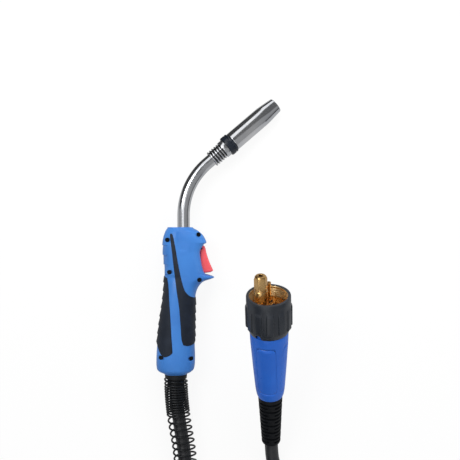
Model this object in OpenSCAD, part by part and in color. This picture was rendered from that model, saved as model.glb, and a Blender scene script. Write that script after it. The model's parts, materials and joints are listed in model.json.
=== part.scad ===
// Air-cooled MIG/MAG welding torch with its cable and its central connector.
// Lengths are in millimetres, angles in degrees.
// The torch lies on its side on a table at z = 0. Its handle runs along Y, with the neck towards +Y.

/* [Handle] */
// Length of the moulded handle
handle_len = 153; // [145:1:165]
// Half of the handle's width at its lower grip
grip_half_w = 20; // [19:0.5:22]
// Half of the handle's thickness
handle_half_t = 19; // [18:0.5:21]
// Wall of the handle shells
shell_wall = 2.8; // [2.6:0.1:3.2]
// Exponent of the handle's rounded section, 2 is an ellipse
section_power = 2.5; // [2.2:0.1:3]
// Thickness of the grip pads in their pockets
pad_thick = 1.2; // [1:0.1:1.4]
// How far the grip pads stand out of the shells
pad_proud = 0.4; // [0.2:0.1:0.6]
// Depth of the grip ridges
ridge_depth = 1; // [0.4:0.1:1.4]
// Spacing of the ridges on the rear grip
rear_ridge_pitch = 8.9; // [7:0.1:11]
// Spacing of the ridges on the front grip
front_ridge_pitch = 8; // [6:0.1:10]
// Depth of the scallops at the thumb rest
scallop_depth = 0.9; // [0.4:0.1:1.2]
// Spacing of the scallops at the thumb rest
scallop_pitch = 10; // [9:0.5:11]
// Turn of the torch about the handle's long axis as it lies on the table
roll = 6.2; // [5:0.1:8]
// Height of the handle's long axis over the table
axis_height = 20.05; // [20:0.05:23]

/* [Trigger] */
// Width of the trigger
trigger_w = 13.8; // [11:0.2:15]
// Diameter of the trigger's pin
trigger_pin_d = 3; // [2.5:0.1:3.5]
// Width of the micro switch
switch_w = 5.8; // [5:0.1:7]
// Length of the micro switch
switch_len = 12.8; // [12:0.1:14]
// Depth of the micro switch
switch_depth = 6.5; // [6:0.1:6.8]
// How far the plunger stands out of the switch
plunger_out = 2.6; // [2.5:0.1:2.8]

/* [Screws] */
// Diameter of the recesses for the screw heads
screw_recess_d = 4.8; // [4.6:0.1:5.4]
// Diameter of the screw heads
screw_head_d = 4.4; // [3.8:0.1:4.5]
// Diameter of the screw shanks
screw_d = 2.9; // [2.5:0.1:3]
// Diameter of the screw bosses
boss_d = 7; // [6.4:0.1:8]

/* [Neck] */
// Outer diameter of the bent neck tube
neck_od = 13; // [12.5:0.1:14]
// Wall of the neck tube
neck_wall = 1; // [0.8:0.1:1.2]
// Radius of the neck's bend
neck_bend_r = 72; // [65:1:80]
// Angle of the neck's bend
neck_angle = 49.2; // [40:0.1:55]
// Straight length of the neck over the top of the handle, up to the bend
neck_rise = 12.6; // [8:0.1:20]
// Straight length of the neck between the bend and the finned head
neck_run = 6.3; // [3:0.1:10]
// Outer diameter of the inner current tube
core_od = 8; // [7.5:0.1:8.5]
// Outer diameter of the wire liner
liner_od = 4.4; // [4:0.1:4.6]
// Bore of the wire liner
liner_bore = 2; // [1.6:0.1:2.4]

/* [Head] */
// Length of the finned head
head_len = 20.2; // [18:0.1:24]
// Diameter over the cooling fins
fin_d = 17.5; // [16.5:0.1:18.4]
// Number of cooling fins
fins = 5; // [4:1:6]
// Diameter of the smooth band next to the insulating ring
band_d = 18.5; // [18:0.1:19.5]
// Diameter of the spigot that carries the nozzle
spigot_d = 12; // [11.5:0.1:12.5]
// Length of the insulating ring
ring_len = 8.3; // [6:0.1:10]
// Outer diameter of the insulating ring
ring_d = 22; // [21:0.1:23]
// Length of the gas nozzle
nozzle_len = 61.2; // [56:0.1:66]
// Outer diameter of the gas nozzle
nozzle_d = 20; // [19.6:0.1:21]
// Outer diameter of the nozzle's mouth
mouth_d = 16.2; // [15.6:0.1:17]
// Inner diameter of the nozzle's mouth
mouth_bore = 12.5; // [12:0.1:13.5]
// Length of the tapered end of the nozzle
taper_len = 18; // [12:0.5:22]
// Inner diameter of the nozzle
nozzle_bore = 16; // [15.6:0.1:16.4]
// Diameter of the contact tip
tip_d = 8; // [7:0.1:9]
// Length of the contact tip that shows inside the nozzle
tip_len = 26; // [22:0.5:28]
// Bore of the contact tip
tip_bore = 1.2; // [0.8:0.1:1.8]

/* [Kink spring] */
// Outer diameter of the kink spring
spring_od = 25; // [24.6:0.1:26]
// Diameter of the spring's wire
spring_wire = 2; // [1.8:0.1:2]
// Number of loose turns next to the handle
loose_turns = 1.5; // [1:0.5:3]
// Number of close turns
close_turns = 11.6; // [10:0.1:13]
// Spacing of the close turns
close_pitch = 2.6; // [2.55:0.05:2.8]
// Number of open turns
open_turns = 11; // [8:0.5:12]
// Spacing of the open turns
open_pitch = 7.1; // [6:0.1:7.5]

/* [Cable] */
// Diameter of the cable
cable_d = 14; // [13:0.1:14]
// Number of loops in the coil
coil_loops = 4.5; // [3.5:1:4.5]
// Radius of the coil's outer loop, at the middle of the cable
coil_r = 95.5; // [90:0.5:96]
// Step from one loop to the next
coil_step = 14.6; // [14.5:0.1:15]

/* [Connector] */
// Length of the strain relief
relief_len = 60; // [50:1:70]
// Diameter of the strain relief at the cable
relief_d = 19.6; // [19:0.1:21]
// Diameter of the strain relief at the housing
relief_end_d = 25; // [24:0.1:25.6]
// Number of ribs on the strain relief
relief_ribs = 12; // [8:1:13]
// Length of the connector housing
housing_len = 77.2; // [72:0.2:84]
// Diameter of the housing at the cable end
housing_d = 25.8; // [25.8:0.1:28]
// Diameter of the housing next to the nut
housing_end_d = 37.9; // [37:0.1:39]
// Wall of the housing
housing_wall = 2.2; // [1.8:0.1:2.6]
// Length of the adaptor nut
nut_len = 40; // [38:0.1:42]
// Diameter of the adaptor nut between its grips
nut_d = 43.2; // [42.6:0.1:44]
// Diameter over the grips of the adaptor nut
nut_grip_d = 45.6; // [45:0.1:47]
// Number of grips on the adaptor nut
nut_grips = 12; // [8:1:14]
// Inner diameter of the brass thread ring
thread_d = 37; // [36:0.1:37.4]
// Depth of the socket inside the adaptor nut
socket_depth = 12; // [11:0.1:13]
// Diameter of the main pin
main_pin_d = 13.2; // [12:0.1:13.6]
// How far the main pin stands out of the nut's rim
main_pin_out = 7.5; // [5:0.1:9]
// Width across the flats of the liner nut
liner_nut_af = 11.3; // [10:0.1:11.3]
// Length of the liner nut's hexagon
liner_nut_len = 15; // [12:0.5:17]
// Diameter of the plain control pin
pin_a_d = 4.2; // [3.8:0.1:4.4]
// Diameter of the slim control pin
pin_b_d = 2.2; // [1.8:0.1:2.6]
// How far the plain control pin stands out of the nut's rim
pin_a_out = 8.7; // [6:0.1:10]
// How far the slim control pin stands out of the nut's rim
pin_b_out = 7.9; // [6:0.1:10]
// Travel of the spring-loaded control pins
pin_travel = 2; // [1:0.1:2.5]
// Slope of the connector's axis over the table
conn_tilt = 25.7; // [24:0.1:28]
// Turn of the connector's axis from the handle's direction
conn_turn = 2.4; // [0:0.1:5]

/* [Clearances] */
// Gap of a running fit, on the radius
run_gap = 0.05; // [0.03:0.01:0.08]
// Gap between pieces that are assembled, on the radius
fit_gap = 0.1; // [0.05:0.01:0.15]
// Gap between pieces that move past each other
move_gap = 0.3; // [0.3:0.05:0.5]
// Gap along an axis where two pieces meet end to end
end_gap = 0.05; // [0.02:0.01:0.1]

/* [Hidden] */
$fn = 64;

// Colours
shell_blue = [0.24, 0.46, 0.76];
grip_black = [0.14, 0.17, 0.21];
trigger_red = [0.85, 0.3, 0.33];
cable_black = [0.08, 0.09, 0.1];
collar_grey = [0.2, 0.22, 0.24];
brass = [0.78, 0.58, 0.3];
chrome = [0.8, 0.81, 0.83];
copper = [0.76, 0.45, 0.3];
white_plastic = [0.9, 0.9, 0.88];

// ---------------------------------------------------------------- helpers

function mix(a, b, t) = a + (b - a) * t;
function clamp01(t) = max(0, min(1, t));
function smooth(t) = clamp01(t) * clamp01(t) * (3 - 2 * clamp01(t));
function unit(v) = v / norm(v);
function last(v) = v[len(v) - 1];

// Value at y of an outline through [y, x] points, with smooth slopes
function knot_slope(k, i) =
    i == 0 || i == len(k) - 1 ? 0 : (k[i + 1][1] - k[i - 1][1]) / (k[i + 1][0] - k[i - 1][0]);
function knot_index(k, y) = max([0, for (i = [0:len(k) - 2]) if (k[i][0] <= y) i]);
function outline_x(k, y) =
    let (
        i = knot_index(k, y),
        h = k[i + 1][0] - k[i][0],
        t = clamp01((y - k[i][0]) / h),
        m0 = knot_slope(k, i) * h,
        m1 = knot_slope(k, i + 1) * h
    )
    (2 * t ^ 3 - 3 * t ^ 2 + 1) * k[i][1] + (t ^ 3 - 2 * t ^ 2 + t) * m0
        + (3 * t ^ 2 - 2 * t ^ 3) * k[i + 1][1] + (t ^ 3 - t ^ 2) * m1;

// Signed power, for rounded sections between an ellipse and a rectangle
function spow(v, p) = sign(v) * abs(v) ^ p;

// Two triangles for the cell between rows i and i + 1 and columns j and j + 1 of a grid n wide
function cell(base, n, i, j, j2) =
    [[base + i * n + j, base + i * n + j2, base + (i + 1) * n + j2],
     [base + i * n + j, base + (i + 1) * n + j2, base + (i + 1) * n + j]];

// Closed solid between two grids of points with the same rows and columns
module slab(outer, inner) {
    m = len(outer);
    n = len(outer[0]);
    points = [for (row = outer) for (p = row) p, for (row = inner) for (p = row) p];
    b = m * n;
    rim = concat(
        [for (j = [0:n - 1]) j],
        [for (i = [1:m - 1]) i * n + n - 1],
        [for (j = [n - 2:-1:0]) (m - 1) * n + j],
        [for (i = [m - 2:-1:1]) i * n]
    );
    faces = concat(
        [for (i = [0:m - 2]) for (j = [0:n - 2]) for (f = cell(0, n, i, j, j + 1)) f],
        [for (i = [0:m - 2]) for (j = [0:n - 2]) for (f = cell(b, n, i, j, j + 1)) [f[0], f[2], f[1]]],
        [for (k = [0:len(rim) - 1]) let (a = rim[k], c = rim[(k + 1) % len(rim)])
            for (f = [[a, c + b, c], [a, a + b, c + b]]) f]
    );
    polyhedron(points, faces);
}

// Closed solid through a list of rings, with a fan over each end
module skin(rings) {
    m = len(rings);
    n = len(rings[0]);
    points = [for (ring = rings) for (p = ring) p];
    faces = concat(
        [for (i = [0:m - 2]) for (j = [0:n - 1]) for (f = cell(0, n, i, j, (j + 1) % n)) f],
        [for (j = [1:n - 2]) [0, j + 1, j]],
        [for (j = [1:n - 2]) [(m - 1) * n, (m - 1) * n + j, (m - 1) * n + j + 1]]
    );
    polyhedron(points, faces);
}

// Direction of a path at its point i
function path_dir(path, i) = unit(path[min(i + 1, len(path) - 1)] - path[max(i - 1, 0)]);

// Ring of a round tube about a point, square to a direction, with one axis level
function tube_ring(p, dir, r, sides) =
    let (side = unit(cross(dir, [0, 0, 1])), up = cross(side, dir))
    [for (k = [0:sides - 1]) let (a = 360 * (k + 0.5) / sides) p + r * (side * cos(a) + up * sin(a))];

module tube(path, r, sides) {
    skin([for (i = [0:len(path) - 1]) tube_ring(path[i], path_dir(path, i), r, sides)]);
}

// Point at t, 0 to 1, between points b and c of a smooth curve through a, b, c and d
function curve_point(a, b, c, d, t) =
    0.5 * (2 * b + (c - a) * t + (2 * a - 5 * b + 4 * c - d) * t ^ 2 + (3 * b - a - 3 * c + d) * t ^ 3);
function smooth_path(p, steps) = concat(
    [for (i = [1:len(p) - 3]) for (k = [0:steps - 1]) curve_point(p[i - 1], p[i], p[i + 1], p[i + 2], k / steps)],
    [p[len(p) - 2]]
);

// Tube between two diameters along +Z
module sleeve(outer_d, inner_d, z0, z1) {
    difference() {
        translate([0, 0, z0]) cylinder(d = outer_d, h = z1 - z0);
        translate([0, 0, z0 - 1]) cylinder(d = inner_d, h = z1 - z0 + 2);
    }
}

// ---------------------------------------------------------------- handle form

// Height of a feature that keeps its distance to the top of the handle; high is its height at 153
function from_top(high) = handle_len - 153 + high;

// Outlines of the handle seen from its side: height along the handle, then distance from the long axis
back_knots = [
    [0, -12.4], [2.8, -grip_half_w + 2.3], [5.1, -grip_half_w + 0.2], [15, -grip_half_w - 0.4],
    [34, -grip_half_w + 0.8], [54, -grip_half_w + 3.1], [from_top(81), -13.1], [from_top(102.5), -11.9],
    [from_top(116.7), -13.2], [from_top(130), -14.4], [from_top(140), -13.7], [from_top(148.6), -11.2],
    [handle_len, -8.8]
];
spur_y = from_top(101);
front_knots = [
    [0, 11.8], [2.2, grip_half_w - 4.2], [5.1, grip_half_w - 1.2], [15, grip_half_w], [35, grip_half_w - 0.4],
    [from_top(80), grip_half_w + 0.4], [from_top(87), 21.8], [from_top(92.5), 24.9], [from_top(96.8), 29.7],
    [spur_y - 1.8, 37], [spur_y, 40], [spur_y + 2, 34.6], [spur_y + 3, 30.9], [from_top(110.7), 27.6],
    [from_top(121.5), 25.5], [from_top(128), 25.2], [from_top(135.3), 29.1], [from_top(136.6), 31.5],
    [from_top(139), 31.2], [from_top(145), 27.9], [from_top(149.8), 22.5], [handle_len, 17.5]
];
thick_knots = [
    [0, handle_half_t - 5.5], [2.2, handle_half_t - 2.5], [5.1, handle_half_t - 0.8], [15, handle_half_t],
    [60, handle_half_t - 0.4], [from_top(84), handle_half_t - 0.6], [from_top(100), handle_half_t - 1.4],
    [from_top(125), handle_half_t - 1.6], [from_top(140), handle_half_t - 2.2],
    [from_top(148), handle_half_t - 4], [handle_len, handle_half_t - 7]
];
front_power_knots = [
    [0, section_power], [from_top(92), section_power], [from_top(104), section_power + 1.5],
    [from_top(138), section_power + 1.5], [from_top(149), section_power + 0.4], [handle_len, section_power]
];

// Scallops along the back edge at the thumb rest
scallop_top = from_top(134);
scallops = 3;
function scallop(y) =
    let (d = scallop_top - y)
    d < 0 || d > scallops * scallop_pitch ? 0 : scallop_depth * (1 - d / scallop_pitch + floor(d / scallop_pitch));

function back_x(y) = outline_x(back_knots, y) + scallop(y);
function front_x(y) = outline_x(front_knots, y);
function mid_x(y) = (front_x(y) + back_x(y)) / 2;
function half_x(y) = (front_x(y) - back_x(y)) / 2;
function half_z(y) = outline_x(thick_knots, y);
function power(y, c) = c > 0 ? outline_x(front_power_knots, y) : section_power;

// Point of the handle's skin at height y and angle u, 0 at the front seam and 180 at the back seam
function skin_point(y, u, off) =
    let (n = power(y, cos(u)))
    [mid_x(y) + (half_x(y) + off) * spow(cos(u), 2 / n), y, (half_z(y) + off) * spow(sin(u), 2 / n)];

// Point of the inner skin: the spur and the nose in front of it stay solid
hollow_front = 27.5;
function inner_point(y, u, off) =
    let (n = power(y, cos(u)), front = min(front_x(y), hollow_front), mid = (front + back_x(y)) / 2)
    [mid + (front - mid + off) * spow(cos(u), 2 / n), y, (half_z(y) + off) * spow(sin(u), 2 / n)];

// Angle u of the point of the skin that lies x from the long axis, and the skin's height there
function rel_x(y, x) = max(-0.995, min(0.995, (x - mid_x(y)) / half_x(y)));
function angle_at(y, x) = let (c = rel_x(y, x)) acos(spow(c, power(y, c) / 2));
function skin_z(x, y) =
    let (c = rel_x(y, x), n = power(y, c))
    half_z(y) * (1 - abs(c) ^ n) ^ (1 / n);

// Heights of the rows of points that the shells are drawn through
shell_rows = concat(
    [0, 0.7, 2.2, 5, 10, 18, 30, 42, 54, 66],
    [for (h = [78, 87, 92.5, 96.8]) from_top(h)],
    [spur_y - 1.8, spur_y, spur_y + 1.2, spur_y + 2.2],
    [for (k = [scallops:-1:1]) for (e = [-0.25, 0.25, scallop_pitch / 2]) scallop_top - k * scallop_pitch + e],
    [for (h = [134.2, 135.5, 136.8, 139, 143, 147, 150, 152]) from_top(h)],
    [handle_len]
);
shell_angles = [for (j = [0:12]) 180 * j / 12];

// The cable leaves through the bottom of the handle, on its long axis, and the neck through its top
seat_bore = spring_od - 2 * spring_wire - 2 * move_gap;
cable_hole_d = seat_bore + 2 * fit_gap;
neck_x = 8;
neck_hole_d = neck_od + 2 * fit_gap;

function half_ring(x, y, r) = [for (u = shell_angles) [x + r * cos(u), y, r * sin(u)]];
function inner_y(y) = shell_wall + y * (handle_len - 2 * shell_wall) / handle_len;

module shell_bowl() {
    outer = concat(
        [half_ring(0, 0, cable_hole_d / 2 - 2)],
        [for (y = shell_rows) [for (u = shell_angles) skin_point(y, u, 0)]],
        [half_ring(neck_x, handle_len, neck_hole_d / 2 - 1)]
    );
    inner = concat(
        [half_ring(0, shell_wall, cable_hole_d / 2 - 2)],
        [for (y = shell_rows) [for (u = shell_angles) inner_point(inner_y(y), u, -shell_wall)]],
        [half_ring(neck_x, handle_len - shell_wall, neck_hole_d / 2 - 1)]
    );
    slab(outer, inner);
}

// Ribs and posts root this deep in the wall of the shell
rib_root = 0.6;

// Post from height z0 up into the wall of the shell, following its skin
module post(x, y, d, z0) {
    sides = 16;
    ring = [for (k = [0:sides - 1]) [x + d / 2 * cos(360 * k / sides), y - d / 2 * sin(360 * k / sides)]];
    skin([
        [for (p = ring) [p[0], p[1], z0]],
        [for (p = ring) [p[0], p[1], max(z0 + 0.5, skin_z(p[0], p[1]) - shell_wall + rib_root)]]
    ]);
}

// Wall across the inside of the shell, with a round hole that carries a piece on the neck's axis
module rib(y, thick, hole_d) {
    slab(
        [half_ring(neck_x, y, hole_d / 2), [for (u = shell_angles) inner_point(y, u, rib_root - shell_wall)]],
        [half_ring(neck_x, y + thick, hole_d / 2), [for (u = shell_angles) inner_point(y + thick, u, rib_root - shell_wall)]]
    );
}

// Places of the handle screws: distance from the long axis, and height
screw_places = [
    [-9.3, from_top(139.8)], [-7.2, from_top(106.5)], [23, from_top(145.4)], [23.6, from_top(98.6)],
    [-15.8, 18.6], [15.2, 17.2]
];
head_depth = 4;
head_height = 2;
screw_reach = 8;
function head_seat(p) = skin_z(p[0], p[1]) - head_depth;

// ---------------------------------------------------------------- grip pads

// Rows of points over a grip: the two on each side of a notch, and the one between two notches
function ridge_rows(y0, y1, first, pitch) = concat(
    [y0],
    [for (k = [floor((y1 - first) / pitch):-1:ceil((y0 - first) / pitch)])
        for (e = [-0.25, 0.25, pitch / 2]) let (y = first + (floor((y1 - first) / pitch)
            + ceil((y0 - first) / pitch) - k) * pitch + e) if (y > y0 + 0.6 && y < y1 - 0.6) y],
    [y1]
);
function saw(y, first, pitch) = let (d = (first - y) / pitch) ridge_depth * (d - floor(d));

// Rear grip, round the back edge
rear_low = 32;
rear_high = from_top(102.3);
rear_notch = from_top(95.7);
rear_edge_knots = [
    [14, -5.5], [24, -4], [40, -5], [from_top(59), -6.1], [from_top(78), -7.35], [from_top(94.4), -8.3],
    [from_top(103), -9.6]
];
rear_rows = ridge_rows(rear_low, rear_high, rear_notch, rear_ridge_pitch);
rear_steps = [1, 0.88, 0.7, 0.5, 0.3, 0.12, 0];
rear_drop = 13;

// Point of the rear grip: row height y, share s of the way from the seam to its inner edge
function rear_point(y, s, off, grow) =
    let (
        v = (y - rear_low) / (rear_high - rear_low),
        low = -rear_drop * (1 - (1 - s) ^ 2) + 5 * s ^ 8,
        edge = v <= 0 ? -grow : v >= 1 ? grow : 0,
        h = y + low * (1 - v) ^ 1.5 - 1.6 * s * v + edge,
        side = angle_at(h, outline_x(rear_edge_knots, h)) - grow * 3,
        seam = 180 + (grow > 0 ? 4 : 0)
    )
    skin_point(h, mix(seam, side, s), off);

function rear_grid(off, grow, ridged) =
    [for (y = rear_rows) [for (s = rear_steps)
        rear_point(y, s, off, grow) - [ridged ? saw(y, rear_notch, rear_ridge_pitch) * (1 - s) ^ 2 : 0, 0, 0]]];

// Front grip, round the front edge and up the side as a wedge
front_low = 35;
front_seam_end = from_top(79.9);
front_high = from_top(146.4);
front_left_knots = [
    [26, 8.4], [31.4, 6.7], [37.8, 4.8], [48.8, 4], [from_top(64.6), 2.7], [from_top(88.7), -0.1],
    [from_top(106.6), -2.2], [from_top(124.4), -4.3], [from_top(144), -6.4], [from_top(148), -6.2]
];
front_right_knots = [
    [front_seam_end, 19], [from_top(81.1), 15.2], [from_top(84.7), 10.4], [from_top(89.8), 7.5],
    [from_top(100.3), 4.7], [from_top(112.9), 2], [from_top(130.7), -1.05], [from_top(144), -3.6],
    [from_top(148), -5]
];
front_rows = concat(
    ridge_rows(front_low, front_seam_end, front_seam_end, front_ridge_pitch),
    [for (h = [81.1, 82.8, 84.7, 89.8, 96, 104, 113, 122, 131, 139, 144]) from_top(h)],
    [front_high]
);
front_steps = [0, 0.12, 0.3, 0.5, 0.7, 0.88, 1];
front_drop = 5;

function front_point(y, s, off, grow) =
    let (
        fade = clamp01((front_seam_end - y) / (front_seam_end - front_low)),
        low = -front_drop * (1 - (1 - s) ^ 2) * fade + 2 * s ^ 8 * fade,
        edge = y <= front_low ? -grow : y >= front_high ? grow : 0,
        h = y + low + edge,
        left = angle_at(h, outline_x(front_left_knots, h)) + grow * 3,
        right = y <= front_seam_end ? (grow > 0 ? -4 : 0)
            : angle_at(h, outline_x(front_right_knots, h)) - grow * 3
    )
    skin_point(h, mix(right, left, s), off);

function front_grid(off, grow, ridged) =
    [for (y = front_rows) [for (s = front_steps)
        front_point(y, s, off, grow)
            + [ridged && y < front_seam_end ? saw(y, front_seam_end, front_ridge_pitch) * (1 - s) ^ 2 : 0, 0, 0]]];

module rear_pad() slab(rear_grid(pad_proud, 0, true), rear_grid(-pad_thick, 0, false));
module front_pad() slab(front_grid(pad_proud, 0, true), front_grid(-pad_thick, 0, false));

module pad_pockets() {
    over = 4;
    slab(rear_grid(over, fit_gap, false), rear_grid(-pad_thick - fit_gap, fit_gap, false));
    slab(front_grid(over, fit_gap, false), front_grid(-pad_thick - fit_gap, fit_gap, false));
}

// ---------------------------------------------------------------- places

pivot = [25.5, from_top(131)];
slot_low = spur_y + 2.9;
slot_high = from_top(136);
slot_w = trigger_w + 2 * move_gap;
press_y = from_top(113.5);
switch_front = 21.1;
switch_low = from_top(110);
switch_gap = 0.3;

// Neck: straight up out of the handle, then a bend, then a straight run along the head's axis
block_low = from_top(78);
block_high = from_top(100);
block_d = 18;
crimp_len = 18;
crimp_d = 16;
neck_low = block_low + 6;
bend_y = handle_len + neck_rise;
head_base = [
    neck_x + neck_bend_r * (1 - cos(neck_angle)) + neck_run * sin(neck_angle),
    bend_y + neck_bend_r * sin(neck_angle) + neck_run * cos(neck_angle)
];
ring_start = head_len + end_gap;
nozzle_start = ring_start + ring_len + move_gap;
nozzle_end = nozzle_start + nozzle_len;
spigot_end = 45;
tip_start = nozzle_end - 3.5 - tip_len;

// Cable and kink spring, from the middle of the handle's bottom face
seat_out = 5;
spring_start = seat_out + 0.3 + spring_wire / 2;
spring_len = loose_turns * (close_pitch + 1.4) + close_turns * close_pitch + open_turns * open_pitch;

// Where the torch stands: its box without the cord is centred on the origin
nozzle_reach = head_base[0] + nozzle_end * sin(neck_angle) + mouth_d / 2 * cos(neck_angle);
nozzle_top = head_base[1] + nozzle_end * cos(neck_angle) + nozzle_d / 2 * sin(neck_angle);
torch_low = spring_start + spring_len + 1;
grip_reach = grip_half_w + 1;
base_x = -((nozzle_reach - grip_reach) / 2) * cos(roll);
base_y = -(nozzle_top - torch_low) / 2;
module at_base() translate([base_x, base_y, 0]) children();
module at_torch() at_base() translate([0, 0, axis_height]) rotate([0, roll, 0]) children();
module along_y(x, y) translate([x, y, 0]) rotate([-90, 0, 0]) children();
module at_head() translate([head_base[0], head_base[1], 0]) rotate([0, 0, 90 - neck_angle]) rotate([0, 90, 0]) children();

// ---------------------------------------------------------------- handle pieces

module half_shell() {
    difference() {
        union() {
            difference() {
                union() {
                    shell_bowl();
                    rib(block_low + 1, 2, block_d + 2 * fit_gap);
                    rib(block_high - 3, 2, block_d + 2 * fit_gap);
                }
                translate([switch_front - switch_depth - 2, slot_low, -1])
                    cube([50, slot_high - slot_low, slot_w / 2 + 1]);
            }
            for (p = screw_places) post(p[0], p[1], boss_d, 0);
            post(pivot[0], pivot[1], trigger_pin_d + 3.4, slot_w / 2);
        }
        pad_pockets();
        along_y(0, -1) cylinder(d = cable_hole_d, h = shell_wall + 3);
        along_y(neck_x, handle_len - shell_wall - 2) cylinder(d = neck_hole_d, h = shell_wall + 3);
        translate([0, 0, lead_run[1]]) along_y(lead_run[0], block_low - 2)
            cylinder(d = lead_d + 2 * move_gap, h = block_high - block_low + 3, $fn = 24);
        translate([pivot[0], pivot[1], -1]) cylinder(d = trigger_pin_d + 2 * run_gap, h = slot_w / 2 + 3.2);
    }
}

module right_shell() {
    color(shell_blue) at_torch() difference() {
        half_shell();
        for (p = screw_places) {
            translate([p[0], p[1], -1]) cylinder(d = screw_d + 2 * fit_gap, h = handle_half_t);
            translate([p[0], p[1], head_seat(p)]) cylinder(d = screw_recess_d, h = handle_half_t);
        }
    }
}

module left_shell() {
    color(shell_blue) at_torch() mirror([0, 0, 1]) difference() {
        half_shell();
        for (p = screw_places) translate([p[0], p[1], -1])
            cylinder(d = screw_d + 2 * run_gap, h = screw_reach + 1.5);
    }
}

module front_grip_right() color(grip_black) at_torch() front_pad();
module front_grip_left() color(grip_black) at_torch() mirror([0, 0, 1]) front_pad();
module rear_grip_right() color(grip_black) at_torch() rear_pad();
module rear_grip_left() color(grip_black) at_torch() mirror([0, 0, 1]) rear_pad();

module handle_screws() {
    color(chrome) at_torch() for (p = screw_places) translate([p[0], p[1], 0]) difference() {
        union() {
            translate([0, 0, -screw_reach]) cylinder(d = screw_d, h = screw_reach + head_seat(p) + 0.5);
            translate([0, 0, head_seat(p) + end_gap]) cylinder(d = screw_head_d, h = head_height);
        }
        translate([0, 0, head_seat(p) + 0.9]) cylinder(d = 2.2, h = head_height, $fn = 6);
    }
}

// ---------------------------------------------------------------- trigger

trigger_low = slot_low + 0.9;
trigger_high = slot_high - 1.2;
trigger_back_x = 24.4;
trigger_front_knots = [
    [trigger_low, 37.4], [trigger_low + 1.2, 38.8], [trigger_low + 3, 38.4], [from_top(115.5), 35.4],
    [from_top(125.1), 32.1], [trigger_high - 2, 30.2], [trigger_high, 28.2]
];
trigger_rows = concat([for (h = [0, 0.5, 1.2, 2.4, 4]) trigger_low + h],
    [for (h = [111, 115.5, 120, 125.1, 130]) from_top(h)], [trigger_high - 2, trigger_high - 0.8, trigger_high]);

function trigger_ring(y) =
    let (
        x1 = outline_x(trigger_front_knots, y),
        cx = (trigger_back_x + x1) / 2,
        rx = (x1 - trigger_back_x) / 2,
        top = clamp01((trigger_high - y) / 3),
        low = clamp01((y - trigger_low) / 1.2),
        rz = trigger_w / 2 - 0.8 * (1 - low) - 0.8 * (1 - top),
        sag = 0.12 * clamp01((from_top(118) - y) / 12)
    )
    [for (k = [0:19]) let (a = 360 * (k + 0.5) / 20)
        [cx + rx * spow(cos(a), 0.45), y + sag * (rx + rx * spow(cos(a), 0.45)) - sag * 2, rz * spow(sin(a), 0.45)]];

module trigger() {
    color(trigger_red) at_torch() difference() {
        union() {
            skin([for (y = trigger_rows) trigger_ring(y)]);
            translate([switch_front + plunger_out + switch_gap, press_y - 1, -2]) cube([3, 2, 4]);
        }
        translate([pivot[0], pivot[1], -trigger_w])
            cylinder(d = trigger_pin_d + 2 * run_gap, h = 2 * trigger_w);
    }
}

module trigger_pin() {
    color(chrome) at_torch() translate([pivot[0], pivot[1], -slot_w / 2 - 2])
        cylinder(d = trigger_pin_d, h = slot_w + 4);
}

module switch_body() {
    color(grip_black) at_torch() difference() {
        translate([switch_front - switch_depth, switch_low, -switch_w / 2])
            cube([switch_depth, switch_len, switch_w]);
        translate([switch_front - 4, press_y, 0]) rotate([0, 90, 0])
            cylinder(d = 2.4 + 2 * run_gap, h = 5);
        for (y = [switch_low + 2.5, switch_low + switch_len - 2.5])
            translate([switch_front - switch_depth + 1.8, y, -switch_w]) cylinder(d = 2.1, h = 2 * switch_w);
    }
}

module switch_plunger() {
    color(trigger_red) at_torch() translate([switch_front - 1.2, press_y, 0]) rotate([0, 90, 0])
        cylinder(d = 2.4, h = plunger_out + 1.2);
}

// The leads pass the neck block on both sides, through holes in the ribs
lead_d = 1.6;
lead_run = [neck_x + 1, block_d / 2 + lead_d + 0.7];
function lead_route(side) = [for (q = [
    [switch_front - 3.6, switch_low + 3, 1.5], [switch_front - 3.6, switch_low - 1, 1.5],
    [switch_front - 4.3, switch_low - 3.6, 4.2], [neck_x + 4.5, block_high + 4.5, 9.3],
    [lead_run[0] + 0.2, block_high + 1.6, lead_run[1] - 0.1], [lead_run[0], block_high - 0.4, lead_run[1]],
    [lead_run[0], block_high - 4, lead_run[1]], [lead_run[0], block_low + 6, lead_run[1]],
    [lead_run[0], block_low - 2, lead_run[1]], [neck_x - 0.5, block_low - 12, 10.8],
    [neck_x - 1.6, block_low - 22, 10.4], [neck_x - 2, block_low - 28, 10.4]
]) [q[0], q[1], side * q[2]]];
module trigger_leads() {
    color(cable_black) at_torch() for (side = [-1, 1]) tube(concat(
        [[lead_route(side)[0][0], switch_low - end_gap, lead_route(side)[0][2]]],
        smooth_path(lead_route(side), 3)
    ), lead_d / 2, 8);
}

// ---------------------------------------------------------------- neck and head

// Round pipe along the neck, from height y0 in the handle to distance q1 along the head's axis
module ring_2d(outer_d, inner_d) {
    difference() {
        circle(d = outer_d);
        circle(d = inner_d);
    }
}
// The bend is drawn a little thinner in the wall, and laps into the straight runs
bend_slim = 0.1;
bend_lap = 0.4;
module neck_pipe(outer_d, inner_d, y0, q1) {
    along_y(neck_x, y0) linear_extrude(height = bend_y + bend_lap - y0) ring_2d(outer_d, inner_d);
    translate([neck_x + neck_bend_r, bend_y, 0]) rotate([0, 0, 180 - neck_angle])
        rotate_extrude(angle = neck_angle, $fn = 180) translate([neck_bend_r, 0])
            ring_2d(outer_d - bend_slim, inner_d + bend_slim);
    at_head() translate([0, 0, -neck_run - bend_lap])
        linear_extrude(height = neck_run + bend_lap + q1) ring_2d(outer_d, inner_d);
}

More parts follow.
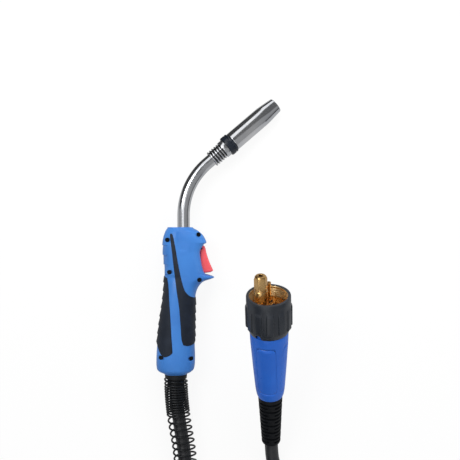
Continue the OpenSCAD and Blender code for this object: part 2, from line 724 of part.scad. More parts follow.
neck_id = neck_od - 2 * neck_wall;
neck_seat_q = 10;
core_end_q = 30;
core_bore = liner_od + 2 * fit_gap;
module swan_neck() color(chrome) at_torch() neck_pipe(neck_od, neck_id, neck_low, neck_seat_q);
module neck_insulation()
    color(white_plastic) at_torch() neck_pipe(neck_id - 2 * run_gap, core_od + 2 * run_gap, neck_low, neck_seat_q - 1);
module neck_core() color(copper) at_torch() neck_pipe(core_od, core_bore, block_low + 1, core_end_q);
module wire_liner() color(cable_black) at_torch() neck_pipe(liner_od, liner_bore, block_low, tip_start - 3);

module neck_block() {
    color(brass) at_torch() along_y(neck_x, 0) difference() {
        translate([0, 0, block_low]) cylinder(d = block_d, h = block_high - block_low);
        translate([0, 0, neck_low - end_gap]) cylinder(d = neck_od + 2 * run_gap, h = block_high);
        translate([0, 0, block_low + 0.5]) cylinder(d = core_od + 2 * run_gap, h = block_high);
        translate([0, 0, block_low - 1]) cylinder(d = core_bore, h = block_high);
        for (s = [-1, 1]) translate([s * (block_d / 2 + 0.8) - 2, -block_d, block_low + 8])
            cube([4, 2 * block_d, 6]);
    }
}

module cable_crimp() {
    color(copper) at_torch() along_y(neck_x, 0)
        sleeve(crimp_d, cable_d + 2 * run_gap, block_low - crimp_len, block_low - end_gap);
}

// Cable inside the handle, from the crimp to the seat of the kink spring
tail_points = [
    [neck_x, 90], [neck_x, 77], [neck_x, 60], [7.6, 50], [5.6, 36], [2.4, 22], [0.4, 12], [0, 4], [0, -seat_out],
    [0, -20]
];
module cable_tail() {
    color(cable_black) at_torch()
        tube(smooth_path([for (q = tail_points) [q[0], q[1] > 55 ? from_top(q[1]) : q[1], 0]], 3), cable_d / 2, 12);
}

fin_pitch = 3;
fin_w = 1.5;
band_len = head_len - fins * fin_pitch;
module neck_head() {
    color(chrome) at_torch() at_head() difference() {
        union() {
            cylinder(d = fin_d - 2.6, h = head_len);
            for (k = [0:fins - 1]) translate([0, 0, k * fin_pitch + 0.3]) cylinder(d = fin_d, h = fin_w);
            translate([0, 0, head_len - band_len]) cylinder(d = band_d, h = band_len);
            cylinder(d = spigot_d, h = spigot_end);
        }
        translate([0, 0, -1]) cylinder(d = neck_od + 2 * run_gap, h = neck_seat_q + 1.2);
        translate([0, 0, -1]) cylinder(d = core_od + 2 * run_gap, h = spigot_end + 2);
    }
}

module insulator_ring() {
    color([0.12, 0.14, 0.18]) at_torch() at_head() difference() {
        rotate_extrude() polygon([
            [spigot_d / 2 + fit_gap, ring_start], [ring_d / 2 - 0.8, ring_start], [ring_d / 2, ring_start + 0.8],
            [ring_d / 2, ring_start + ring_len - 0.8], [ring_d / 2 - 0.8, ring_start + ring_len],
            [spigot_d / 2 + fit_gap, ring_start + ring_len]
        ]);
    }
}

nozzle_seat_d = nozzle_bore + 1;
module gas_nozzle() {
    color(chrome) at_torch() at_head() rotate_extrude() polygon([
        [nozzle_seat_d / 2, nozzle_start], [nozzle_d / 2 - 0.4, nozzle_start], [nozzle_d / 2, nozzle_start + 0.4],
        [nozzle_d / 2, nozzle_end - taper_len], [mouth_d / 2, nozzle_end - 0.3], [mouth_d / 2 - 0.3, nozzle_end],
        [mouth_bore / 2, nozzle_end], [mouth_bore / 2, nozzle_end - 4], [nozzle_bore / 2, nozzle_end - taper_len],
        [nozzle_bore / 2, spigot_end], [nozzle_seat_d / 2, spigot_end]
    ]);
}

// Unbroken coil round the Z axis
module helix(r, wire, turns, pitch, per_turn, sides) {
    n = turns * per_turn;
    skin([for (i = [0:n]) let (a = 360 * i / per_turn, out = [cos(a), sin(a), 0])
        [for (k = [0:sides - 1]) let (b = 360 * k / sides)
            r * out + [0, 0, pitch * i / per_turn] + wire / 2 * (out * cos(b) + [0, 0, 1] * sin(b))]]);
}

coil_wire = 1.6;
module nozzle_coil() {
    color(chrome) at_torch() at_head() translate([0, 0, nozzle_start + 2])
        helix(nozzle_seat_d / 2 - move_gap - coil_wire / 2, coil_wire, 5, 2.2, 12, 6);
}

holder_d = 10;
module tip_holder() {
    color(brass) at_torch() at_head() difference() {
        union() {
            translate([0, 0, core_end_q + end_gap]) cylinder(d = core_od, h = spigot_end - core_end_q);
            translate([0, 0, spigot_end + end_gap]) cylinder(d = holder_d, h = tip_start - spigot_end - 2 * end_gap);
        }
        translate([0, 0, core_end_q - 1]) cylinder(d = core_bore, h = tip_start);
        translate([0, 0, tip_start - 8]) cylinder(d = 6 + 2 * run_gap, h = 20);
    }
}

module gas_diffuser() {
    color(white_plastic) at_torch() at_head() difference() {
        sleeve(14, holder_d + 2 * run_gap, spigot_end + 0.3, tip_start - 1);
        for (k = [0:2]) translate([0, 0, (spigot_end + tip_start) / 2]) rotate([0, 0, 60 * k])
            rotate([90, 0, 0]) cylinder(d = 2, h = 30, center = true);
    }
}

module contact_tip() {
    color(copper) at_torch() at_head() difference() {
        union() {
            translate([0, 0, tip_start - 2.8]) cylinder(d = 6, h = 4);
            translate([0, 0, tip_start]) rotate_extrude() polygon([
                [0, 0], [tip_d / 2, 0], [tip_d / 2, tip_len - 5], [tip_d / 2 - 1.2, tip_len], [0, tip_len]
            ]);
        }
        translate([0, 0, tip_start - 4]) cylinder(d = tip_bore, h = tip_len + 8);
    }
}

// ---------------------------------------------------------------- kink spring

module spring_seat() {
    color(grip_black) at_torch() rotate([90, 0, 0]) difference() {
        union() {
            translate([0, 0, -shell_wall - 3]) cylinder(d = cable_hole_d + 3, h = 3 - end_gap);
            translate([0, 0, -shell_wall - 1]) cylinder(d = seat_bore, h = shell_wall + seat_out - 1);
            cylinder(r = spring_room_r - 2 * move_gap, h = seat_out + 8);
            translate([0, 0, end_gap]) cylinder(d1 = spring_od - 1.4, d2 = spring_od - 2.4, h = seat_out);
        }
        translate([0, 0, -10]) cylinder(d = cable_d + 2 * fit_gap + 0.2, h = 60);
    }
}

// Axis of the kink spring, from the middle of the handle's bottom face: it sags to the table
spring_axis = smooth_path([
    [0, 20, axis_height], [0, 0, axis_height], [0.4, -20, 19.4], [2.1, -40, 17.9], [5, -60, 16],
    [8.2, -80, 14.1], [9.2, -100, 12.9], [3, -120, 12.7], [-9, -140, 12.7]
], 16);
spring_run = [for (i = 0, s = 0; i < len(spring_axis);
    s = s + (i + 1 < len(spring_axis) ? norm(spring_axis[i + 1] - spring_axis[i]) : 0), i = i + 1) s];
function axis_index(s) = max([0, for (i = [0:len(spring_run) - 2]) if (spring_run[i] <= s) i]);
function axis_point(s) =
    let (i = axis_index(s), t = (s - spring_run[i]) / (spring_run[i + 1] - spring_run[i]))
    mix(spring_axis[i], spring_axis[i + 1], t);
function axis_dir(s) = unit(axis_point(s + 1) - axis_point(s - 1));

// How far down the axis the wire is after a number of turns
loose_pitch = close_pitch + 1.4;
function spring_at(turn) = spring_start
    + min(turn, loose_turns) * loose_pitch
    + min(max(turn - loose_turns, 0), close_turns) * close_pitch
    + max(turn - loose_turns - close_turns, 0) * open_pitch;
spring_rings = 8;
spring_r = (spring_od - spring_wire) / 2;
// Radius that stays free inside the turns, which are drawn with straight pieces
spring_room_r = spring_r * cos(180 / spring_rings) - spring_wire / 2;
spring_turns = loose_turns + close_turns + open_turns;
function spring_out(turn) =
    let (d = axis_dir(spring_at(turn)), side = unit(cross(d, [0, 0, 1])), up = cross(side, d))
    side * cos(360 * turn) + up * sin(360 * turn);
spring_mid = [for (i = [0:floor(spring_turns * spring_rings)])
    let (turn = i / spring_rings) axis_point(spring_at(turn)) + spring_r * spring_out(turn)];
spring_path = concat(
    [spring_mid[0] - spring_wire * unit(spring_mid[1] - spring_mid[0])],
    spring_mid,
    [last(spring_mid) + spring_wire * unit(last(spring_mid) - spring_mid[len(spring_mid) - 2])]
);

function wire_ring(p, dir, out, r, sides) =
    let (b = unit(cross(dir, out)), a = cross(b, dir))
    [for (k = [0:sides - 1]) p + r * (a * cos(360 * k / sides) - b * sin(360 * k / sides))];
module kink_spring() {
    color(cable_black) at_base() skin([for (i = [0:len(spring_path) - 1])
        let (turn = max(0, min(i - 1, len(spring_mid) - 1)) / spring_rings)
        wire_ring(spring_path[i], path_dir(spring_path, i), spring_out(turn), spring_wire / 2, 6)]);
}

// ---------------------------------------------------------------- cable

// All cable points are taken from the middle of the handle's bottom face, with z over the table
coil_mid = [57, -204];
coil_low_z = cable_d / 2 + 0.05;
coil_high_z = coil_low_z + coil_step;
coil_rings = 24;
coil_ease = 0.12;
function coil_turn_r(t) =
    let (m = min(t, coil_loops - t), d = coil_loops / 2 - m)
    coil_r - coil_step * (m - (d < coil_ease ? coil_ease * (1 - d / coil_ease) ^ 2 / 2 : 0));
function coil_z(t) = mix(coil_low_z, coil_high_z, smooth((t - coil_loops / 2 + 0.25) / 0.5));
function coil_point(t) =
    let (a = 180 + 360 * t)
    [coil_mid[0] + coil_turn_r(t) * cos(a), coil_mid[1] + coil_turn_r(t) * sin(a), coil_z(t)];
coil_turns = [for (i = [0:coil_loops * coil_rings]) coil_point(i / coil_rings)];
coil_in = coil_turns[0] + [0, cable_d, 0];
coil_out = last(coil_turns) + [0, cable_d, 0];
coil_path = concat([coil_in], coil_turns, [coil_out]);

function least_gap(path, skip, d) =
    min([for (i = [0:len(path) - 1 - skip]) for (j = [i + skip:len(path) - 1]) norm(path[i] - path[j])]) - d;
echo(coil_gap = least_gap(coil_path, 8, cable_d));
echo(spring_gap = least_gap(spring_path, 5, spring_wire));

conn_exit = [99.9, -71, 18.2];
conn_axis = [-sin(conn_turn) * cos(conn_tilt), cos(conn_turn) * cos(conn_tilt), sin(conn_tilt)];

// Route of the cable from the handle to the coil, and from the coil to the connector
torch_route = [
    [0, 3, axis_height], [0, -seat_out - 2, axis_height], [0.05, -16, 19.7], [0.5, -27, 18.4],
    [1.8, -40, 16.3], [4.5, -60, 14.1], [7.6, -80, 12.1], [8.7, -98, 11], [4.9, -114, 10.8],
    [-8.4, -129.6, 9.8], [-21.6, -145.4, 8.4], [-31.2, -160.6, 7.5], [-36.6, -175.4, 7.1]
];
connector_route = [
    [152.5, -170, 21.6], [151, -154, 19.6], [145, -138.5, 15.8], [134, -126, 11.8], [121, -116, 9.4],
    [109.5, -106, 8.8], [102.5, -95, 10]
];
// The lengths of cable meet end to end, so each runs straight for its last bit
torch_path = concat(
    [[0, -seat_out - end_gap, axis_height]],
    smooth_path(concat(torch_route, [coil_in + [0, 2, 0], coil_in - [0, cable_d - 2, 0]]), 3),
    [coil_in + [0, end_gap, 0]]
);
connector_path = concat(
    [coil_out + [0, end_gap, 0]],
    smooth_path(concat([coil_out - [0, cable_d - 2, 0], coil_out + [0, 2, 0]], connector_route,
        [conn_exit - 2 * conn_axis, conn_exit + (cable_d - 2) * conn_axis]), 4),
    [conn_exit - end_gap * conn_axis]
);
function path_length(p) = len(p) < 2 ? 0 : [for (i = 0, s = 0; i < len(p); s = s + (i + 1 < len(p)
    ? norm(p[i + 1] - p[i]) : 0), i = i + 1) s][len(p) - 1];
echo(cable_lengths = [path_length(torch_path), path_length(coil_path), path_length(connector_path)]);

module cable_torch_side() color(cable_black) at_base() tube(torch_path, cable_d / 2, 10);
module cable_coil() color(cable_black) at_base() tube(coil_path, cable_d / 2, 6);
module cable_connector_side() color(cable_black) at_base() tube(connector_path, cable_d / 2, 10);

// ---------------------------------------------------------------- connector

module at_connector() at_base() translate(conn_exit) rotate([conn_tilt - 90, 0, conn_turn]) children();

housing_end = relief_len + housing_len;
rim = housing_end + nut_len;
socket_floor = rim - socket_depth;
relief_plug_d = relief_end_d - 2;
relief_plug_len = 12;
shank_d = 30;
shank_low = housing_end - 14;
flange_d = thread_d - 2 * move_gap;
flange_low = socket_floor - 6;
housing_lip_d = housing_end_d - 3.4;
housing_lip_len = 3.2;
web_low = housing_end + housing_lip_len + 2;
main_at = [-7.2, -2.3];
pin_a_at = [1, 8.6];
pin_b_at = [6.6, -8.6];

rib_pitch = (relief_len - 6) / relief_ribs;
function relief_r(s) = mix(relief_d, relief_end_d, s / relief_len) / 2;
module strain_relief() {
    groove = 2;
    color([0.16, 0.17, 0.2]) at_connector() difference() {
        rotate_extrude() polygon(concat(
            [[cable_d / 2 + fit_gap + 0.1, 0], [relief_r(0) - 1.2, 0], [relief_r(0), 1.2]],
            [for (k = [0:relief_ribs - 1]) for (q = [
                [0.42, 0], [0.5, -groove], [0.86, -groove], [0.94, 0]
            ]) let (s = 1.6 + (k + q[0]) * rib_pitch) [relief_r(s) + q[1], s]],
            [[relief_end_d / 2, relief_len - end_gap], [relief_plug_d / 2, relief_len - end_gap],
             [relief_plug_d / 2, relief_len + relief_plug_len], [cable_d / 2 + fit_gap + 0.1, relief_len + relief_plug_len]]
        ));
        for (k = [1:relief_ribs - 2]) for (side = [0, 1])
            translate([0, 0, 1.6 + (k + 0.68) * rib_pitch]) rotate([0, 0, 90 * side])
                cube([relief_end_d * 2, 5, rib_pitch * 0.3], center = true);
    }
}

module cable_end() color(cable_black) at_connector() cylinder(d = cable_d, h = relief_len + 36);

module connector_crimp() {
    color(copper) at_connector()
        sleeve(cable_d + 3, cable_d + 2 * run_gap, relief_len + 18, relief_len + 40);
}

// Radius of the housing's outside, s from the end of the strain relief
housing_knots = [
    [0, housing_d / 2], [2.65, housing_d / 2 + 0.8], [8.5, housing_d / 2 + 1.75], [18.6, housing_d / 2 + 2.6],
    [44, housing_d / 2 + 4.35], [housing_len, housing_end_d / 2]
];
function housing_r(s) = outline_x(housing_knots, s);
housing_steps = [0, 1.3, 2.65, 5, 7.5, 10, 13.5, 18.6, 25, 34, 44, 60];
housing_screw_s = housing_end - 6;

module connector_housing() {
    color(shell_blue) at_connector() difference() {
        rotate_extrude() polygon(concat(
            [for (s = housing_steps) [housing_r(s), relief_len + s]],
            [[housing_end_d / 2, housing_end - 0.6], [housing_end_d / 2 - 0.6, housing_end],
             [housing_lip_d / 2, housing_end], [housing_lip_d / 2, housing_end + housing_lip_len],
             [shank_d / 2 + fit_gap, housing_end + housing_lip_len], [shank_d / 2 + fit_gap, shank_low - 1],
             [housing_r(44) - housing_wall - 1, shank_low - 4]],
            [for (k = [len(housing_steps) - 3:-1:5]) [housing_r(housing_steps[k]) - housing_wall,
                relief_len + housing_steps[k]]],
            [[housing_r(10) - housing_wall - 1, relief_len + relief_plug_len - 5],
             [relief_plug_d / 2 + fit_gap, relief_len + relief_plug_len - 5], [relief_plug_d / 2 + fit_gap, relief_len]]
        ));
        housing_panels();
        translate([0, 0, housing_screw_s]) rotate([-90, 0, 0]) cylinder(d = 3 + 2 * run_gap, h = 30);
        translate([0, housing_end_d / 2 - 2.2, housing_screw_s]) rotate([-90, 0, 0])
            cylinder(d = 5.6, h = 10);
    }
}

// Shallow rounded panels round the housing
panel_depth = 0.5;
panel_w = 19;
panel_len = 56;
panel_mid = 36;
panel_round = 5;
panel_line = 0.8;
module housing_panels() {
    for (k = [0:3]) rotate([0, 0, 90 * k - 15]) intersection() {
        translate([0, -5, relief_len + panel_mid]) rotate([90, 0, 0]) linear_extrude(height = 30) difference() {
            offset(r = panel_round, $fn = 24) square([panel_w - 2 * panel_round, panel_len - 2 * panel_round], center = true);
            offset(r = panel_round - panel_line, $fn = 24)
                square([panel_w - 2 * panel_round, panel_len - 2 * panel_round], center = true);
        }
        difference() {
            translate([0, 0, relief_len]) cylinder(d = 60, h = housing_len);
            rotate_extrude() polygon(concat([[0, relief_len - 1], [housing_r(0) - panel_depth, relief_len - 1]],
                [for (s = housing_steps) [housing_r(s) - panel_depth, relief_len + s]],
                [[housing_r(housing_len) - panel_depth, housing_end + 1], [0, housing_end + 1]]));
        }
    }
}

screw_bite = 2;
module housing_screw() {
    color(chrome) at_connector() translate([0, 0, housing_screw_s]) rotate([-90, 0, 0]) difference() {
        union() {
            translate([0, 0, shank_d / 2 - screw_bite]) cylinder(d = 3, h = housing_end_d / 2 - shank_d / 2 + screw_bite - 1.6);
            translate([0, 0, housing_end_d / 2 - 2.1]) cylinder(d = 5, h = 1.6);
        }
        translate([0, 0, housing_end_d / 2 - 1.4]) cube([0.8, 9, 2], center = true);
    }
}

module retaining_ring() {
    color(chrome) at_connector() difference() {
        sleeve(shank_d + 3.4, shank_d - 1, web_low - 1.6, web_low - 0.4);
        translate([0, -1.5, web_low - 3]) cube([40, 3, 6]);
    }
}

module connector_body() {
    color(brass) at_connector() difference() {
        union() {
            translate([0, 0, shank_low]) cylinder(d = shank_d, h = flange_low - shank_low);
            translate([0, 0, flange_low]) cylinder(d = flange_d, h = socket_floor - flange_low);
        }
        difference() {
            translate([0, 0, web_low - 1.7]) cylinder(d = shank_d + 8, h = 1.4);
            translate([0, 0, web_low - 3]) cylinder(d = shank_d - 1.2, h = 4);
        }
        translate([main_at[0], main_at[1], shank_low - 1]) cylinder(d = main_root_d + 2 * run_gap, h = 80);
        for (p = [pin_a_at, pin_b_at])
            translate([p[0], p[1], shank_low - 1]) cylinder(d = bush_d + 2 * run_gap, h = 80);
        translate([0, 0, housing_screw_s]) rotate([-90, 0, 0])
            translate([0, 0, shank_d / 2 - screw_bite - 0.4]) cylinder(d = 3 + 2 * run_gap, h = 10);
    }
}

nut_bore = shank_d + 2 * move_gap;
ring_seat_d = thread_d + 3.2;
grip_w = 7;
// Distance from the rim to the grips
grip_top = 9.7;
notch_w = 6;
module adaptor_nut() {
    taper = 6;
    color(collar_grey) at_connector() difference() {
        union() {
            rotate_extrude() polygon([
                [housing_lip_d / 2 + move_gap, housing_end + move_gap], [nut_d / 2 - 2.2, housing_end + move_gap],
                [nut_d / 2 - 0.4, housing_end + taper], [nut_d / 2, housing_end + taper + 6], [nut_d / 2, rim - 0.6],
                [nut_d / 2 - 0.6, rim], [ring_seat_d / 2, rim], [ring_seat_d / 2, flange_low - move_gap],
                [nut_bore / 2, flange_low - move_gap], [nut_bore / 2, web_low],
                [housing_lip_d / 2 + move_gap, web_low]
            ]);
            intersection() {
                rotate_extrude() polygon([
                    [nut_d / 2 - 1, housing_end + taper], [nut_d / 2 - 0.4, housing_end + taper],
                    [nut_grip_d / 2, housing_end + taper + 2], [nut_grip_d / 2, rim - grip_top - 3],
                    [nut_d / 2 - 0.2, rim - grip_top], [nut_d / 2 - 1, rim - grip_top]
                ]);
                for (k = [0:nut_grips - 1]) rotate([0, 0, 360 * k / nut_grips])
                    translate([0, -grip_w / 2, housing_end]) cube([nut_grip_d, grip_w, nut_len]);
            }
        }
        rotate([0, 0, -125]) translate([housing_lip_d / 2, -notch_w / 2, housing_end - 1]) cube([20, notch_w, 6.4]);
    }
}

module nut_thread_ring() {
    color(brass) at_connector()
        sleeve(ring_seat_d - 2 * fit_gap, thread_d, flange_low + move_gap, rim - 0.5);
}

// The pin sits with its shoulder on the socket floor, and its root runs through the body
main_root_d = main_pin_d - 1.6;
module main_pin() {
    color(brass) at_connector() translate([main_at[0], main_at[1], 0]) difference() {
        union() {
            translate([0, 0, socket_floor + end_gap]) cylinder(d = main_pin_d, h = socket_depth + main_pin_out - end_gap);
            translate([0, 0, shank_low - 8]) cylinder(d = main_root_d, h = socket_floor - shank_low + 9);
            translate([0, 0, shank_low - 20]) cylinder(d = main_root_d - 2, h = 13);
        }
        translate([0, 0, shank_low - 30]) cylinder(d = 5, h = rim);
    }
}

module liner_nut() {
    top = rim + main_pin_out;
    corner_r = liner_nut_af / 2 + 0.35;
    color(brass) at_connector() translate([main_at[0], main_at[1], top + end_gap]) difference() {
        union() {
            cylinder(r = corner_r, h = 1.5);
            intersection() {
                rotate([0, 0, 20]) cylinder(d = 2 * liner_nut_af / sqrt(3), h = liner_nut_len, $fn = 6);
                rotate_extrude() polygon([[0, 0], [corner_r, 0], [corner_r, liner_nut_len - 3],
                    [liner_nut_af / 2 - 1.4, liner_nut_len], [0, liner_nut_len]]);
            }
        }
        translate([0, 0, -1]) cylinder(d = liner_bore + 2, h = liner_nut_len + 2);
    }
}

// Spring-loaded control pins in their bushes
bush_d = 7;
bush_low = shank_low + 6;
pin_low = bush_low + 12;
pin_foot_d = 5.2;
spring_room = pin_travel + 2;
module bush(at, pin_d, top_d, top) {
    translate([at[0], at[1], 0]) difference() {
        union() {
            translate([0, 0, bush_low]) cylinder(d = bush_d, h = socket_floor - bush_low);
            if (top > 0) translate([0, 0, socket_floor - 0.5]) cylinder(d = bush_d, h = 1);
            if (top > 0) translate([0, 0, socket_floor + end_gap]) cylinder(d = top_d, h = top);
        }
        translate([0, 0, pin_low - spring_room - 1.2]) cylinder(d = pin_foot_d + 0.6, h = spring_room + 1.2 + 2.6);
        translate([0, 0, pin_low]) cylinder(d = pin_d + 2 * run_gap, h = 60);
        if (top > 0) for (k = [0:3]) rotate([0, 0, 90 * k + 45])
            translate([pin_foot_d / 2 + 0.2, 0, socket_floor + top - 1.6]) cylinder(d = 1.6, h = 4);
    }
}
module sprung_pin(at, pin_d, out) {
    translate([at[0], at[1], 0]) {
        translate([0, 0, pin_low]) cylinder(d = pin_d, h = rim + out - pin_low);
        translate([0, 0, pin_low - 0.5]) cylinder(d = pin_foot_d, h = 2.4);
    }
}
module pin_insulator_1() color(white_plastic) at_connector() bush(pin_a_at, pin_a_d, 6, 0);
module pin_insulator_2() color(grip_black) at_connector() bush(pin_b_at, pin_b_d, bush_d + 1.6, 5);
module control_pin_1() {
    color(brass) at_connector() difference() {
        sprung_pin(pin_a_at, pin_a_d, pin_a_out);
        translate([pin_a_at[0], pin_a_at[1], rim + pin_a_out - 4]) cylinder(d = 2, h = 9);
    }
}
module control_pin_2() color(brass) at_connector() sprung_pin(pin_b_at, pin_b_d, pin_b_out);
module pin_spring(at) translate([at[0], at[1], pin_low - spring_room - 0.6]) helix(2.1, 0.6, 3, 0.95, 8, 4);
module control_pin_spring_1() color(chrome) at_connector() pin_spring(pin_a_at);
module control_pin_spring_2() color(chrome) at_connector() pin_spring(pin_b_at);

// ---------------------------------------------------------------- drawing

right_shell();
left_shell();
front_grip_right();
front_grip_left();
rear_grip_right();
rear_grip_left();
handle_screws();
trigger();
trigger_pin();
switch_body();
switch_plunger();
trigger_leads();
swan_neck();
neck_insulation();
neck_core();
wire_liner();
neck_block();
cable_crimp();
cable_tail();
neck_head();
insulator_ring();
gas_nozzle();
nozzle_coil();
tip_holder();
gas_diffuser();
contact_tip();
spring_seat();
kink_spring();
cable_torch_side();
cable_coil();
cable_connector_side();
strain_relief();
cable_end();
connector_crimp();
connector_housing();
housing_screw();
retaining_ring();
adaptor_nut();
nut_thread_ring();
connector_body();
main_pin();
liner_nut();
control_pin_1();
control_pin_2();
pin_insulator_1();
pin_insulator_2();
control_pin_spring_1();
control_pin_spring_2();
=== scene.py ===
"""Looks of an air-cooled MIG/MAG welding torch with its cable and central connector."""

import json
import math

import bmesh
import bpy
import numpy as np
from mathutils import Matrix, Vector


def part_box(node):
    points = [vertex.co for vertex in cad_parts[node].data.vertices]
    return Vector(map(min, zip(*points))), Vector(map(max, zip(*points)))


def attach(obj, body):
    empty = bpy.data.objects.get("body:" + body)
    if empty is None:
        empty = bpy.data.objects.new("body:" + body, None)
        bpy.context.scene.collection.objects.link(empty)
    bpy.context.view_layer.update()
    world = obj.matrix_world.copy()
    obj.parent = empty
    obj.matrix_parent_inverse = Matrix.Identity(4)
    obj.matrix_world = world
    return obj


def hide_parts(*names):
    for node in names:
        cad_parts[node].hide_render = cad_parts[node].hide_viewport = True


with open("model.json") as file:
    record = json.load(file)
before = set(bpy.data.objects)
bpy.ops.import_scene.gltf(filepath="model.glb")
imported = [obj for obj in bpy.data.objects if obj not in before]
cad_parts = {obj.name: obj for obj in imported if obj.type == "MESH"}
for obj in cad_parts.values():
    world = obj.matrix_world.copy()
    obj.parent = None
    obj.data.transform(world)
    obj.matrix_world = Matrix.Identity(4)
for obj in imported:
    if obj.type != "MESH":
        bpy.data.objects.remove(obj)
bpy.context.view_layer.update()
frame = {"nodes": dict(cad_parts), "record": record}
NODES = frame["nodes"]
MM = 0.001

# -------------------- places
# Lengths are in millimetres until a piece is placed. The torch lies rolled about its handle's long axis.

ROLL = math.radians(6.2)
PIVOT = (25.5, 131.0)
NECK_ANGLE = math.radians(49.2)
NECK_X = 8.0
BEND_Y = 165.6
BEND_R = 72.0
NECK_RUN = 6.3
CONN_EXIT = Vector((99.9, -71.0, 18.2))
CONN_TILT = math.radians(25.7)
CONN_TURN = math.radians(2.4)

pin_lo, pin_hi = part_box("trigger_pin")
pin_mid = (pin_lo + pin_hi) / 2 / MM
BASE_X = pin_mid.x - PIVOT[0] * math.cos(ROLL)
BASE_Y = pin_mid.y - PIVOT[1]
AXIS_HEIGHT = pin_mid.z + PIVOT[0] * math.sin(ROLL)

BASE = Matrix.Scale(MM, 4) @ Matrix.Translation((BASE_X, BASE_Y, 0))
TORCH = BASE @ Matrix.Translation((0, 0, AXIS_HEIGHT)) @ Matrix.Rotation(ROLL, 4, "Y")
HEAD_BASE = Vector((
    NECK_X + BEND_R * (1 - math.cos(NECK_ANGLE)) + NECK_RUN * math.sin(NECK_ANGLE),
    BEND_Y + BEND_R * math.sin(NECK_ANGLE) + NECK_RUN * math.cos(NECK_ANGLE), 0))
HEAD = (TORCH @ Matrix.Translation(HEAD_BASE) @ Matrix.Rotation(math.pi / 2 - NECK_ANGLE, 4, "Z")
        @ Matrix.Rotation(math.pi / 2, 4, "Y"))
CONN = (BASE @ Matrix.Translation(CONN_EXIT) @ Matrix.Rotation(CONN_TURN, 4, "Z")
        @ Matrix.Rotation(CONN_TILT - math.pi / 2, 4, "X"))
CONN_AXIS = Vector((-math.sin(CONN_TURN) * math.cos(CONN_TILT), math.cos(CONN_TURN) * math.cos(CONN_TILT),
                    math.sin(CONN_TILT)))

# -------------------- helpers


def add(name, data):
    """An object in the scene from its data."""
    made = bpy.data.objects.new(name, data)
    bpy.context.scene.collection.objects.link(made)
    return made


def new_mesh(name, verts, faces):
    mesh = bpy.data.meshes.new(name)
    mesh.from_pydata(verts, [], faces)
    return mesh


def link(name, verts, faces, matrix, body, slot, replaced=(), sharp=32.0, look=None):
    """A mesh piece from points in millimetres, placed by matrix, that rides on a body."""
    mesh = new_mesh(name, [matrix @ Vector(v) for v in verts], faces)
    mesh.validate()
    piece = add(name, mesh)
    finish_mesh(piece, sharp)
    mesh.materials.append((look or LOOKS[slot]).material)
    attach(piece, body)
    if replaced:
        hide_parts(*replaced)
    return piece


def finish_mesh(piece, sharp):
    """Merges doubled points, turns normals outward, and marks edges sharper than an angle."""
    work = bmesh.new()
    work.from_mesh(piece.data)
    bmesh.ops.remove_doubles(work, verts=work.verts, dist=2e-6)
    bmesh.ops.recalc_face_normals(work, faces=work.faces)
    limit = math.radians(sharp)
    for face in work.faces:
        face.smooth = True
    for edge in work.edges:
        edge.smooth = not (edge.is_manifold and edge.calc_face_angle() > limit)
    work.to_mesh(piece.data)
    work.free()


def ring_faces(rows, columns, closed=True):
    """Quads between rows of points; closed joins the last column to the first."""
    faces = []
    for i in range(rows - 1):
        for j in range(columns if closed else columns - 1):
            k = (j + 1) % columns
            faces.append((i * columns + j, i * columns + k, (i + 1) * columns + k, (i + 1) * columns + j))
    return faces


def loop_faces(rows, columns):
    """Quads between rings of points whose last ring also joins the first."""
    last = (rows - 1) * columns
    return ring_faces(rows, columns) + [(last + j, last + (j + 1) % columns, (j + 1) % columns, j)
                                        for j in range(columns)]


def tube_faces(rows, columns):
    """Quads between rings of points, with both ends closed."""
    return ring_faces(rows, columns) + [tuple(reversed(range(columns))),
                                        tuple((rows - 1) * columns + j for j in range(columns))]


def grid_solid(outer, inner):
    """Points and faces of the closed solid between two grids of the same size."""
    rows, columns = outer.shape[:2]
    verts = np.concatenate([outer.reshape(-1, 3), inner.reshape(-1, 3)])
    count = rows * columns
    faces = ring_faces(rows, columns, closed=False)
    faces += [tuple(i + count for i in reversed(f)) for f in ring_faces(rows, columns, closed=False)]
    rim = list(range(columns))
    rim += [i * columns + columns - 1 for i in range(1, rows)]
    rim += [(rows - 1) * columns + j for j in range(columns - 2, -1, -1)]
    rim += [i * columns for i in range(rows - 2, 0, -1)]
    for a, b in zip(rim, rim[1:] + rim[:1]):
        faces.append((b, a, a + count, b + count))
    return verts, faces


def lathe(profile, sides=96):
    """Points and faces of a closed profile of (radius, height) turned about Z."""
    angles = [2 * math.pi * k / sides for k in range(sides)]
    verts = [(r * math.cos(a), r * math.sin(a), z) for r, z in profile for a in angles]
    return verts, loop_faces(len(profile), sides)


def rounded(profile, radius, steps=3):
    """The closed profile with its corners rounded by a radius, or by one radius for each corner."""
    out = []
    count = len(profile)
    for i in range(count):
        here = Vector(profile[i])
        before = Vector(profile[i - 1]) - here
        after = Vector(profile[(i + 1) % count]) - here
        r = radius[i] if isinstance(radius, (list, tuple)) else radius
        cut = min(r, before.length * 0.45, after.length * 0.45)
        if cut < 0.01 or abs(before.angle(after) - math.pi) < 0.05:
            out.append(tuple(here))
            continue
        a = here + before.normalized() * cut
        b = here + after.normalized() * cut
        for k in range(steps + 1):
            t = k / steps
            out.append(tuple(a * (1 - t) ** 2 + here * 2 * t * (1 - t) + b * t ** 2))
    return out


def sweep(path, radius, sides, up=Vector((0, 0, 1))):
    """Points and faces of a round tube along a path, turned as little as possible, with closed ends."""
    path = [Vector(p) for p in path]
    count = len(path)
    verts = []
    normal = None
    for i, p in enumerate(path):
        d = (path[min(i + 1, count - 1)] - path[max(i - 1, 0)]).normalized()
        normal = (up.cross(d) if normal is None else normal - d * normal.dot(d)).normalized()
        side = d.cross(normal)
        r = radius(i) if callable(radius) else radius
        verts += [p + r * (normal * math.cos(a) + side * math.sin(a))
                  for a in (2 * math.pi * k / sides for k in range(sides))]
    return verts, tube_faces(count, sides)


